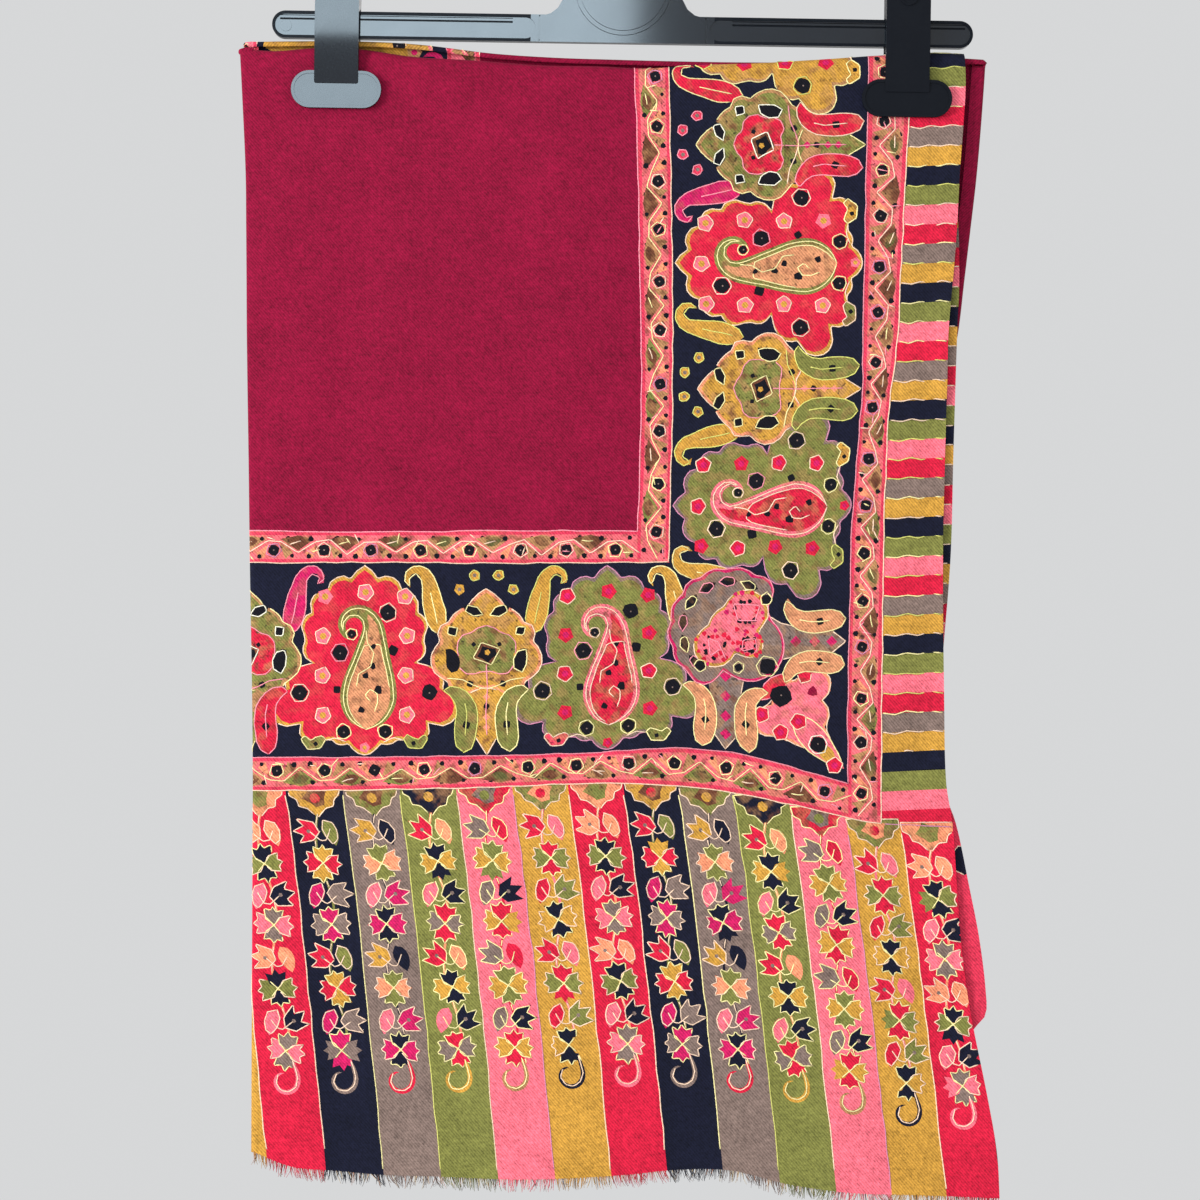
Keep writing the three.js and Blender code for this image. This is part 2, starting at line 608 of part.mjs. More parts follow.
const crimson = { color: 0x961a3d, roughness: 0.85, metalness: 0 };
const printed = { color: 0x3a2c38, roughness: 0.85, metalness: 0 };
const threads = { color: 0xd8b87a, roughness: 0.9, metalness: 0 };
const glossBlack = { color: 0x14171b, roughness: 0.22, metalness: 0 };
const mattBlack = { color: 0x17191c, roughness: 0.45, metalness: 0 };
const steel = { color: 0xb9bcc0, roughness: 0.25, metalness: 1 };

/** A named piece with a finish of its own. */
function piece(name, geometry, finish) {
  const mesh = new THREE.Mesh(geometry, new THREE.MeshStandardMaterial(finish));
  mesh.name = name;
  return mesh;
}

const barMiddle = new THREE.Vector3(-HOOK_TO_BAR * Math.sin(LEAN), 0, -HOOK_TO_BAR * Math.cos(LEAN));

const cloth = new THREE.Group();
cloth.position.copy(barMiddle);
cloth.add(
  piece('front_fall', frontFall(), printed),
  piece('under_fall', underFall(), printed),
  piece('core_layers', coreLayers(), crimson),
  piece('back_fall', backFall(), crimson),
  piece('front_fringe', frontFringe(), threads),
  piece('under_fringe', underFringe(), threads),
);

const hanger = new THREE.Group();
hanger.position.copy(barMiddle);
hanger.rotation.y = LEAN;
hanger.add(piece('hanger_body', hangerBody(), glossBlack));
for (const [name, x] of [['left', -CLIP_X], ['right', CLIP_X]]) {
  const clip = new THREE.Group();
  clip.position.x = x;
  clip.add(
    piece(`${name}_clip_front_jaw`, clipJaw(-1), mattBlack),
    piece(`${name}_clip_back_jaw`, clipJaw(1), mattBlack),
    piece(`${name}_clip_saddle`, clipSaddle(), mattBlack),
  );
  hanger.add(clip);
}

const hook = new THREE.Group();
hook.rotation.y = LEAN;
hook.add(piece('hanger_hook', hangerHook(), steel));

const shawl = new THREE.Group();
shawl.add(cloth, hanger, hook);

export default shawl;
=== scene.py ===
"""A printed, hand-embroidered shawl folded over itself and hung in the two clips of a plastic hanger.

The print is drawn on a flat chart in millimetres: x is measured from the middle of the hanger's bar and
drop is the distance below it. Each layer's drape then takes the places on the chart to points in space.
"""

import logging
import math
import random
from dataclasses import dataclass, field
from enum import Enum
from typing import Callable, NamedTuple, Sequence

import bpy
import numpy as np
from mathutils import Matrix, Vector
from mathutils.geometry import delaunay_2d_cdt

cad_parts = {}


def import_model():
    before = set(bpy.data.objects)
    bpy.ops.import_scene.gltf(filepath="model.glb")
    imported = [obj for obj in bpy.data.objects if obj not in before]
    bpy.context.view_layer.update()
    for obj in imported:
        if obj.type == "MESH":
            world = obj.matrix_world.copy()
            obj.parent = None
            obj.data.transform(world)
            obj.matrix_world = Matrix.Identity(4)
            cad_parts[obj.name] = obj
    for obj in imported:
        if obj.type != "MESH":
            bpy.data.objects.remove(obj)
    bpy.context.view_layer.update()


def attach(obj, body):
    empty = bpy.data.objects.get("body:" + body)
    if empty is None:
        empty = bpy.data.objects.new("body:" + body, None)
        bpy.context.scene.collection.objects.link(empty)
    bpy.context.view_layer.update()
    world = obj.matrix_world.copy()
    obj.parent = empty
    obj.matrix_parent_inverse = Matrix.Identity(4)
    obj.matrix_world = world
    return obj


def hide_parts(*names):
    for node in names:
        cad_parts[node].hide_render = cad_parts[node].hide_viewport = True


LOG = logging.getLogger("shawl")
MM = 0.001
BODY = "root"

HOOK_TO_BAR = 120.0  # inside top of the hook to the middle of the bar
LEAN = math.radians(0.9)  # the loaded hanger hangs a little lower at its right end
BAR_MIDDLE = (-HOOK_TO_BAR * math.sin(LEAN), 0.0, -HOOK_TO_BAR * math.cos(LEAN))
CLIP_X = 142.7
CLIP_PAD = 45.0
STACK_PINCHED = 8.8

Array = np.ndarray
Piece = bpy.types.Object
Material = bpy.types.Material
Triple = tuple[float, float, float]
Line = Callable[[Array], Array]
Place = Callable[[Array, Array], tuple[Array, Array]]


# ---- colours


class Dye(Enum):
    """Colours of the print, as sRGB levels from 0 to 255."""

    CRIMSON = (133, 11, 49)
    NAVY = (20, 22, 40)
    RED = (206, 30, 60)
    PINK = (240, 110, 126)
    SALMON = (232, 104, 112)
    PEACH = (240, 146, 108)
    OLIVE = (122, 122, 62)
    MOSS = (92, 88, 50)
    OCHRE = (198, 146, 60)
    TAUPE = (126, 106, 98)
    MAGENTA = (198, 30, 92)
    TAN = (176, 128, 86)
    ROSE = (216, 58, 86)
    INK = (18, 17, 25)
    SCARLET = (224, 56, 84)
    UMBER = (104, 62, 44)
    BUFF = (212, 142, 102)


class Yarn(Enum):
    """Colours of the embroidery, as sRGB levels from 0 to 255."""

    CREAM = (255, 242, 170)
    SHELL = (255, 220, 190)
    BLUSH = (252, 150, 168)
    LIME = (226, 224, 116)
    MAUVE = (216, 138, 172)
    WHITE = (255, 250, 226)


def linear(levels: Sequence[float]) -> tuple[float, float, float, float]:
    """Turns sRGB levels from 0 to 255 into a linear colour.

    Args:
        levels: red, green and blue.

    Returns:
        The linear colour, with an alpha of 1.
    """
    shares = (level / 255 for level in levels)
    return (*(s / 12.92 if s <= 0.04045 else ((s + 0.055) / 1.055) ** 2.4 for s in shares), 1.0)


# ---- places and lines


def spots(*pairs: tuple[float, float]) -> Array:
    """Makes an array of places from pairs."""
    return np.array(pairs, float)


def columns(*parts: Array) -> Array:
    """Puts rows of numbers side by side."""
    return np.stack(parts, axis=1)


def closed(line: Array) -> Array:
    """Brings a line back to where it starts."""
    return np.vstack([line, line[:1]])


def placed(at: Place, line: Array) -> Array:
    """Takes a line through a placing function."""
    return columns(*at(line[:, 0], line[:, 1]))


def as_drawn(u: Array, v: Array) -> tuple[Array, Array]:
    """Leaves places where they are: the placing function for what is drawn straight on the chart."""
    return u, v


def toward(degrees: float) -> Array:
    """Points one unit in a direction."""
    return np.array([math.cos(math.radians(degrees)), math.sin(math.radians(degrees))])


def turned(figure: Array, angle: float) -> Array:
    """Turns a figure about its own middle, by an angle in radians."""
    cos, sin = math.cos(angle), math.sin(angle)
    return figure @ np.array([[cos, sin], [-sin, cos]])


def shifted(line: Line, step: float) -> Line:
    """Moves a line sideways."""
    return lambda at: line(at) + step


def level_line(drop: float) -> Line:
    """Gives a level line."""
    return lambda x: drop + 0 * np.asarray(x, float)


# ---- outlines of the layers


class Side(NamedTuple):
    """Side edges of the layers at one drop."""

    drop: float
    fold: float
    selvedge: float
    under: float
    back_left: float
    back_fold: float


SIDES = (
    Side(5, -191.9, 170.9, 165.0, -189.6, 182.9),
    Side(30, -190.6, 171.6, 166.0, -189.0, 181.4),
    Side(72, -188.7, 168.7, 166.0, -187.0, 178.0),
    Side(100, -188.4, 167.2, 168.2, -185.8, 174.8),
    Side(126, -188.2, 165.2, 168.6, -185.0, 171.7),
    Side(151, -188.1, 163.0, 167.6, -184.5, 168.7),
    Side(175, -187.8, 162.4, 166.8, -184.2, 164.0),
    Side(215, -187.2, 161.2, 165.6, -183.8, 159.0),
    Side(265, -186.6, 160.2, 164.2, -183.4, 156.8),
    Side(336, -185.4, 160.8, 159.0, -182.6, 156.0),
    Side(377, -185.1, 161.8, 160.0, -182.4, 156.0),
    Side(398, -185.2, 165.0, 167.0, -182.3, 156.2),
    Side(429, -185.3, 167.2, 173.5, -182.2, 156.6),
    Side(456, -185.4, 169.2, 178.7, -182.2, 157.0),
    Side(483, -185.5, 172.4, 181.9, -182.2, 157.4),
    Side(494, -185.5, 174.3, 181.4, -182.2, 157.6),
    Side(503, -185.6, 176.0, 174.0, -182.3, 157.8),
    Side(536, -185.7, 182.7, 171.0, -182.4, 158.4),
    Side(563, -185.8, 187.2, 171.5, -182.6, 159.0),
    Side(590, -185.9, 188.6, 172.0, -182.8, 159.5),
)


class End(NamedTuple):
    """Top edges and hem of the layers at one place across, from 0 at the left to 1 at the right."""

    across: float
    front_top: float
    back_top: float
    hem: float


ENDS = (
    End(0.0, 9.6, 5.8, 561.8),
    End(0.05, 10.5, 5.6, 569.0),
    End(0.105, 9.0, 5.5, 571.0),
    End(0.168, 9.8, 5.8, 573.0),
    End(0.24, 13.5, 7.4, 573.8),
    End(0.33, 15.5, 11.4, 575.0),
    End(0.418, 17.8, 13.6, 574.8),
    End(0.5, 18.3, 14.6, 573.0),
    End(0.56, 19.3, 15.2, 570.8),
    End(0.64, 17.5, 15.8, 571.0),
    End(0.72, 16.6, 16.0, 578.0),
    End(0.8, 14.9, 15.6, 581.8),
    End(0.874, 13.0, 14.6, 583.0),
    End(0.956, 11.6, 14.0, 584.3),
    End(1.0, 12.0, 14.8, 584.8),
)
TOP_SPAN = (-191.5, 170.9)  # x at the two ends of the front's top edge
BACK_TOP_SPAN = (-188.6, 182.5)
HEM_SPAN = (-183.9, 188.2)
BACK_HEM_DROP = 556.0


class Crease(NamedTuple):
    """A soft ridge, or a trough where height is negative, from one place to another."""

    x: float
    drop: float
    to_x: float
    to_drop: float
    width: float
    height: float


CREASES = (
    Crease(-128, 42, -30, 118, 17, -1.6),
    Crease(122, 46, 20, 122, 19, -1.9),
    Crease(-146, 48, -162, 210, 15, 1.3),
    Crease(-60, 24, 70, 27, 12, -1.5),
    Crease(154, 70, 152, 370, 3.6, -1.5),
    Crease(-95, 150, -70, 420, 30, 1.2),
    Crease(25, 140, 45, 360, 26, -1.1),
    Crease(-150, 380, -138, 590, 15, -1.7),
    Crease(-74, 400, -52, 590, 18, 1.8),
    Crease(12, 410, 42, 590, 16, -1.8),
    Crease(88, 400, 116, 590, 17, 2.0),
    Crease(140, 392, 168, 590, 11, -1.9),
    Crease(-116, 36, -52, 70, 9, -1.3),
    Crease(-160, 44, -178, 130, 9, 1.2),
    Crease(-112, 120, -122, 245, 13, 1.1),
    Crease(-30, 60, -34, 236, 15, 1.0),
    Crease(108, 44, 64, 70, 9, -1.2),
)


def along(rows: Sequence[NamedTuple], key: str, column: str) -> Line:
    """Draws the smooth line through one column of a table.

    Args:
        rows: the table, in order of key.
        key: the column that the line runs along.
        column: the column whose values it passes through.

    Returns:
        A function from values of key to values of column.
    """
    at, value = (np.array([getattr(row, name) for row in rows], float) for name in (key, column))
    number = np.arange(len(at))
    before, after = np.maximum(number - 1, 0), np.minimum(number + 1, len(at) - 1)
    slope = (value[after] - value[before]) / (at[after] - at[before])

    def line(x: Array) -> Array:
        """Reads the line at x."""
        x = np.asarray(x, float)
        i = np.clip(np.searchsorted(at, x) - 1, 0, len(at) - 2)
        span = at[i + 1] - at[i]
        t = np.clip((x - at[i]) / span, 0, 1)
        bend = span * (slope[i] * t * (1 - t) ** 2 - slope[i + 1] * t**2 * (1 - t))
        return value[i] + (value[i + 1] - value[i]) * t * t * (3 - 2 * t) + bend

    return line


def over(line: Line, span: tuple[float, float]) -> Line:
    """Makes a line that runs along 0 to 1 run along x instead, from one end of span to the other."""
    return lambda x: line((np.asarray(x, float) - span[0]) / (span[1] - span[0]))


FOLD, SELVEDGE, UNDER_EDGE, BACK_LEFT, BACK_FOLD = (along(SIDES, "drop", name) for name in Side._fields[1:])
FRONT_TOP = over(along(ENDS, "across", "front_top"), TOP_SPAN)
BACK_TOP = over(along(ENDS, "across", "back_top"), BACK_TOP_SPAN)
HEM = over(along(ENDS, "across", "hem"), HEM_SPAN)


# ---- how the layers lie


def rise(x: Array, low: float, high: float) -> Array:
    """Goes smoothly from 0 at low to 1 at high."""
    t = np.clip((x - low) / (high - low), 0, 1)
    return t * t * (3 - 2 * t)


@dataclass(frozen=True)
class Stack:
    """The whole pile of layers: how thick it is and how its faces swell and sink, in millimetres."""

    loose: float = 11.0
    pinched: float = STACK_PINCHED
    hem: float = 13.0
    pinch_reach: float = 26.0
    pinch_drop: float = 44.0
    flare: tuple[float, float] = (380.0, 570.0)
    relief_limit: float = 2.2
    inner_relief: float = 0.5

    def pinch(self, x: Array, drop: Array) -> Array:
        """Says how firmly the clips press at a place, from 0 to 1."""
        aside = np.maximum(np.abs(np.abs(x) - CLIP_X) - CLIP_PAD / 2, 0)
        below = np.maximum(drop - self.pinch_drop, 0)
        return np.exp(-((np.hypot(aside, below) / self.pinch_reach) ** 2))

    def relief(self, x: Array, drop: Array) -> Array:
        """Says how far the front stands out at a place, from its ridges and troughs."""
        out = np.zeros_like(x)
        for crease in CREASES:
            run = np.array([crease.to_x - crease.x, crease.to_drop - crease.drop])
            dx, dz = x - crease.x, drop - crease.drop
            t = np.clip((dx * run[0] + dz * run[1]) / (run @ run), 0, 1)
            away = np.hypot(dx - run[0] * t, dz - run[1] * t)
            out = out + crease.height * np.exp(-((away / crease.width) ** 2))
        return self.relief_limit * np.tanh(out / self.relief_limit) * (1 - self.pinch(x, drop))

    def thickness(self, x: Array, drop: Array) -> Array:
        """Gives the thickness of all the layers at a place."""
        open_now = self.loose + (self.hem - self.loose) * rise(drop, *self.flare)
        return open_now + (self.pinched - open_now) * self.pinch(x, drop)

    def face(self, x: Array, drop: Array) -> Array:
        """Gives the y of the front layer's outer face."""
        return -self.thickness(x, drop) / 2 - self.relief(x, drop)

    def inner(self, x: Array, drop: Array) -> Array:
        """Gives the same for the layers inside, which lie flatter."""
        return -self.thickness(x, drop) / 2 - self.inner_relief * self.relief(x, drop)

    def back(self, x: Array, drop: Array) -> Array:
        """Gives the y of the back layer's outer face."""
        return self.thickness(x, drop) / 2 - self.inner_relief * self.relief(x, drop)


STACK = Stack()


def in_space(x: Array, y: Array, drop: Array) -> Array:
    """Turns places in millimetres about the bar's middle into points in the part's frame, in metres."""
    return np.stack([x + BAR_MIDDLE[0], y, BAR_MIDDLE[2] - drop], axis=-1) * MM


@dataclass(frozen=True)
class Drape:
    """How one layer lies: flat on the chart, round its side folds, and over the top.

    Attributes:
        facing: -1 for a layer that faces the front, 1 for one that faces the back.
        face: y of the layer's outer face at a place.
        left: line of its left fold, or None at an open edge.
        right: line of its right fold, or None at an open edge.
        top: line of its top edge, or None for a layer that ends below the top.
        side_radius: outer radius of a side fold.
        top_radius: outer radius of the bend over the top.
        tuck_radius: radius with which it goes down again behind.
        tail: length of cloth that lies flat again past a side fold.
        tuck: length of cloth that goes down behind the top.
        rail_pitch: spacing of the points on a line that the mesh is cut along.
    """

    facing: int
    face: Callable[[Array, Array], Array]
    left: Line | None = None
    right: Line | None = None
    top: Line | None = None
    side_radius: float = 1.9
    top_radius: float = 4.1
    tuck_radius: float = 1.5
    tail: float = 5.0
    tuck: float = 3.6
    rail_pitch: float = 4.0

    def rails(self, border: Array) -> list[Array]:
        """Draws the lines on the chart along which the cloth bends most, as far as the border reaches.

        Args:
            border: the layer's edge on the chart.

        Returns:
            Lines close together round each fold.
        """
        (low_x, low_drop), (high_x, high_drop) = border.min(0) + 1.2, border.max(0) - 1.2
        drop, x = np.arange(low_drop, high_drop, self.rail_pitch), np.arange(low_x, high_x, self.rail_pitch)
        rails = []
        for turn in np.linspace(0, math.pi, 8):
            for line, sign in ((self.left, 1), (self.right, -1)):
                if line is not None:
                    rails.append(columns(line(drop) + sign * self.side_radius * (1 - turn), drop))
        if self.top is not None:
            for turn in np.linspace(0, math.pi / 2, 6):
                rails.append(columns(x, self.top(x) + self.top_radius * (1 - turn)))
            start = self.top(x) + self.top_radius * (1 - math.pi / 2)
            rails += [columns(x, start - past) for past in np.arange(1, 4) * self.tuck / 3]
        return [rail[inside(rail, border)] for rail in rails]

    @property
    def side_turn(self) -> float:
        """Length of cloth in a side fold and its tail, past where it starts."""
        return math.pi * self.side_radius + self.tail

    @property
    def top_turn(self) -> float:
        """Length of cloth from the top edge's level to the end that is tucked in."""
        return math.pi / 2 * self.top_radius - self.top_radius + self.tuck

    def place(self, x: Array, drop: Array, lift: float | Array = 0.0) -> Array:
        """Takes places on the chart to points in space.

        Args:
            x: places across the chart.
            drop: places down the chart.
            lift: how far to stand off the cloth's face.

        Returns:
            One point for each place, in metres.
        """
        radius = self.side_radius
        sunk, turn, flat = np.zeros_like(x), np.zeros_like(x), x.copy()
        for line, sign in ((self.left, 1), (self.right, -1)):
            if line is None:
                continue
            start = line(drop) + sign * radius
            past = np.maximum((start - x) * sign, 0)
            angle = np.minimum(past / radius, math.pi)
            tail = np.maximum(past - math.pi * radius, 0)
            moved = start + sign * (tail - radius * np.sin(angle))
            flat = np.where(past > 0, moved, flat)
            sunk = np.where(past > 0, radius * (1 - np.cos(angle)), sunk)
            turn = np.where(past > 0, sign * angle, turn)
        level, depth, bend = drop.copy(), np.zeros_like(x), np.full_like(x, math.pi / 2)
        if self.top is not None:
            start = self.top(x) + self.top_radius
            past = np.maximum(start - drop, 0)
            quarter = np.minimum(past / self.top_radius, math.pi / 2)
            tucked = np.maximum(past / self.top_radius - math.pi / 2, 0) * self.top_radius / self.tuck_radius
            sink = self.top_radius * np.sin(quarter) - self.tuck_radius * (1 - np.cos(tucked))
            level = np.where(past > 0, start - sink, level)
            depth = self.top_radius * (1 - np.cos(quarter)) + self.tuck_radius * np.sin(tucked)
            bend = math.pi / 2 - quarter - tucked
        inward, lift = -self.facing, np.asarray(lift, float)
        y = self.face(flat, np.maximum(level, drop)) + inward * (depth + sunk * np.sin(bend))
        y = y - inward * lift * np.cos(turn) * np.sin(bend)
        down = level + sunk * np.cos(bend) - lift * np.cos(turn) * np.cos(bend)
        return in_space(flat - lift * np.sin(turn), y, down)


FRONT_DRAPE = Drape(-1, STACK.face, left=FOLD, top=FRONT_TOP)
BACK_DRAPE = Drape(1, STACK.back, left=BACK_LEFT, right=BACK_FOLD, top=BACK_TOP)
UNDER_DEPTH = 2.6
UNDER_DRAPE = Drape(-1, lambda x, drop: STACK.inner(x, drop) + UNDER_DEPTH)


# ---- outlines of the motifs


def polygon(sides: int, radius: float, turn: float = 0.25, uneven: float = 0.0) -> Array:
    """Draws a small many-sided figure about its own middle.

    Args:
        sides: how many corners it has.
        radius: corner distance.
        turn: where its first corner is, in turns.
        uneven: share by which every other corner is nearer.

    Returns:
        Its corners.
    """
    step = np.arange(sides)
    angle = 2 * math.pi * (step / sides + turn)
    reach = radius * (1 - uneven * (step % 2))
    return columns(reach * np.cos(angle), reach * np.sin(angle))


def bouquet(
    middle: tuple[float, float], rounds: Sequence[Triple], corners: int,
    tip: float = 0.0, tip_width: float = 0.16,
) -> Array:
    """Draws the outline of a bunch of round lobes, with a point at its top.

    Args:
        middle: a place that sees all of the outline.
        rounds: each lobe's x, y and radius.
        corners: how many corners the outline has.
        tip: how far the point at the top stands out.
        tip_width: half the point's width, in radians.

    Returns:
        The outline's corners.
    """
    angle = math.pi / 2 + 2 * math.pi * np.arange(corners) / corners
    ray = columns(np.cos(angle), np.sin(angle))
    reach = np.zeros(corners)
    for x, y, radius in rounds:
        to = np.array([x - middle[0], y - middle[1]])
        ahead = ray @ to
        beyond = radius**2 - to @ to + ahead**2
        reach = np.maximum(reach, np.where(beyond > 0, ahead + np.sqrt(np.maximum(beyond, 0)), 0))
    off_top = (angle - math.pi / 2 + math.pi) % (2 * math.pi) - math.pi
    reach = reach + tip * np.exp(-np.abs(off_top) / tip_width)
    return np.array(middle) + ray * reach[:, None]


def mirrored(rounds: Sequence[Triple]) -> list[Triple]:
    """Adds each lobe's twin on the other side."""
    return [*rounds, *((-x, y, radius) for x, y, radius in rounds if x)]


class Taper(Enum):
    """How a swash narrows towards its tip."""

    LEAF = "both ends alike"
    TAIL = "a full belly and a long thin tail"


@dataclass(frozen=True)
class Swash:
    """A tapering, curling figure such as a paisley, a horn or a leaf, drawn along its own bent middle line.

    Attributes:
        length: length of its middle line.
        width: its greatest half-width.
        heading: direction in which it starts, in degrees.
        curl: how far it has turned at its tip, in degrees.
        curl_from: share of its length after which it curls.
        belly: share of its length at which it is widest.
        blunt: how round its ends are; less is rounder.
        taper: how it narrows towards its tip.
        steps: how many steps its outline takes.
    """

    length: float
    width: float
    heading: float = 90.0
    curl: float = 0.0
    curl_from: float = 0.0
    belly: float = 0.5
    blunt: float = 0.8
    taper: Taper = Taper.LEAF
    steps: int = 16

    def spine(self, to: float = 1.0) -> tuple[Array, Array, Array]:
        """Works out the middle line.

        Args:
            to: the share of the length to draw.

        Returns:
            Places along it, its directions in radians, and the shares of its length.
        """
        share = np.linspace(0, to, self.steps + 1)
        bent = np.clip((share - self.curl_from) / (1 - self.curl_from), 0, 1)
        angle = np.radians(self.heading + self.curl * bent**1.35)
        step = self.length * to / self.steps
        middle = (angle[1:] + angle[:-1]) / 2
        moves = columns(np.cos(middle), np.sin(middle)) * step
        return np.vstack([[0.0, 0.0], np.cumsum(moves, axis=0)]), angle, share

    def half_width(self, share: Array) -> Array:
        """Gives the half-width at shares of the length."""
        share = np.clip(share, 0, 1)
        if self.taper is Taper.LEAF:
            power = math.log(0.5) / math.log(self.belly)
            return self.width * np.sin(math.pi * share**power) ** self.blunt
        rising = np.sin(math.pi / 2 * np.minimum(share / self.belly, 1)) ** self.blunt
        falling = share / self.belly * np.exp(1 - share / self.belly)
        return self.width * np.where(share < self.belly, rising, falling)

    def outline(self, inset: float = 0.0, to: float = 1.0) -> Array:
        """Draws round the figure.

        Args:
            inset: how far inside its edge to stay.
            to: the share of its length to draw.

        Returns:
            The outline's corners.
        """
        places, angle, share = self.spine(to)
        half = np.maximum(self.half_width(share) - inset, 0.0)[:, None]
        aside = columns(-np.sin(angle), np.cos(angle))
        left, right = places + aside * half, places - aside * half
        return np.vstack([right, left[-2:0:-1]])


# ---- the chart


@dataclass(frozen=True)
class Patch:
    """A printed shape: its outline on the chart and its colour."""

    outline: Array
    dye: Dye
    bleed: float


@dataclass(frozen=True)
class Stitch:
    """A row of stitches along a line on the chart, and how many patches were printed before it."""

    line: Array
    yarn: Yarn
    width: float
    printed: int


@dataclass
class Chart:
    """What is printed and stitched on one face of the cloth, in the order of printing."""

    patches: list[Patch] = field(default_factory=list)
    stitches: list[Stitch] = field(default_factory=list)
    stitch_width: float = 0.84
    stitch_length: float = 4.3
    bleed: float = 0.0
    hand: random.Random = field(default_factory=lambda: random.Random(41))

    def patch(self, outline: Array, dye: Dye, yarn: Yarn | None = None, wobble: float = 0.25) -> None:
        """Prints a shape and, if a yarn is given, stitches round it.

        Args:
            outline: its corners on the chart.
            dye: its colour.
            yarn: the colour of the stitches round it.
            wobble: how far the stitches stray from the print.
        """
        self.patches.append(Patch(outline, dye, self.bleed))
        if yarn is not None:
            self.stitch(closed(outline), yarn, wobble)

    def stitch(self, line: Array, yarn: Yarn, wobble: float = 0.25, width: float = 0.0) -> None:
        """Stitches along a line, in straight stitches where it bends.

        Args:
            line: its corners on the chart.
            yarn: the yarn's colour.
            wobble: how far the stitches stray.
            width: the yarn's width, if not the usual one.
        """
        steps = np.hypot(*np.diff(line, axis=0).T)
        if steps.mean() < 0.9 * self.stitch_length and steps.sum() > 5 * self.stitch_length:
            line, _ = walk(line, self.stitch_length)
        stray = np.array([[self.hand.uniform(-1, 1), self.hand.uniform(-1, 1)] for _ in line]) * wobble
        self.stitches.append(Stitch(line + stray, yarn, width or self.stitch_width, len(self.patches)))

    def maybe(self, yarn: Yarn | None, share: float = 0.8) -> Yarn | None:
        """Leaves the stitches out now and then, as a hurried hand does."""
        return yarn if self.hand.random() < share else None

    def ring(self, outline: Array, rim: Dye, ground: Dye, yarn: Yarn, keep: float, middle: Array) -> None:
        """Prints a shape with a rim of another colour.

        Args:
            outline: its corners.
            rim: the rim's colour.
            ground: the colour inside.
            yarn: the stitches between and around.
            keep: the inner shape's size over the outer one's.
            middle: the place it shrinks towards.
        """
        self.patch(outline, rim, yarn, 0.2)
        self.patch(middle + (outline - middle) * keep, ground)


class Grid(NamedTuple):
    """The flat mesh of a chart: corners, triangles, and each triangle's linear colour, its bleed as alpha."""

    points: Array
    faces: Array
    colours: Array


def inside(points: Array, outline: Array) -> Array:
    """Tells which points lie inside an outline.

    Args:
        points: the points.
        outline: its corners.

    Returns:
        True for each point inside.
    """
    low, high = outline.min(0), outline.max(0)
    near = np.nonzero(((points >= low) & (points <= high)).all(1))[0]
    result = np.zeros(len(points), bool)
    if not len(near):
        return result
    px, py = points[near, 0][:, None], points[near, 1][:, None]
    ax, ay = outline[:, 0][None], outline[:, 1][None]
    bx, by = np.roll(outline[:, 0], -1)[None], np.roll(outline[:, 1], -1)[None]
    crosses = (ay > py) != (by > py)
    with np.errstate(divide="ignore", invalid="ignore"):
        at = (bx - ax) * (py - ay) / (by - ay) + ax
    result[near] = (crosses & (px < at)).sum(1) % 2 == 1
    return result


def cut_chart(chart: Chart, border: Array, pitch: float, ground: Dye, rails: Sequence[Array]) -> Grid:
    """Cuts a flat mesh along every printed outline and colours its triangles.

    Args:
        chart: what is printed.
        border: the cloth's own edge on the chart.
        pitch: spacing of the grid that carries the drape.
        ground: colour where nothing is printed.
        rails: open lines to cut along too, where the cloth bends.

    Returns:
        The flat mesh.
    """
    low, high = border.min(0), border.max(0)
    steps = [np.arange(low[k] + pitch / 2, high[k], pitch) for k in (0, 1)]
    mesh = np.stack(np.meshgrid(*steps), axis=-1).reshape(-1, 2)
    mesh[:, 0] += (np.round((mesh[:, 1] - low[1]) / pitch) % 2) * pitch / 2
    points = [border, mesh[inside(mesh, border)]]
    edges = [loop_edges(0, len(border))]
    count = len(border) + len(points[1])
    cuts = [(rail, -1) for rail in rails] + [(patch.outline, None) for patch in chart.patches]
    for line, end in cuts:
        points.append(line)
        edges.append(loop_edges(count, len(line))[:end])
        count += len(line)
    flat = [Vector(p) for p in np.vstack(points)]
    pairs = [tuple(e) for e in np.vstack(edges).tolist()]
    verts, _, faces, *_ = delaunay_2d_cdt(flat, pairs, [], 0, 1e-3, False)
    corners = np.array([tuple(v) for v in verts])
    triangles = np.array([f for f in faces if len(f) == 3])
    centres = corners[triangles].mean(1)
    kept = inside(centres, border)
    triangles, centres = triangles[kept], centres[kept]
    colours = np.tile([*linear(ground.value)[:3], 0.0], (len(triangles), 1))
    for patch in chart.patches:
        colours[inside(centres, patch.outline)] = [*linear(patch.dye.value)[:3], patch.bleed]
    used, renumbered = np.unique(triangles, return_inverse=True)
    return Grid(corners[used], renumbered.reshape(-1, 3), colours)


def loop_edges(start: int, count: int) -> Array:
    """Lists the edges of a closed loop of numbered points."""
    numbers = np.arange(count)
    return columns(start + numbers, start + (numbers + 1) % count)


# ---- the print


class Border(NamedTuple):
    """Upright lines of the borders on the front, at one drop."""

    drop: float
    field: float
    inner: float
    band: float
    outer: float


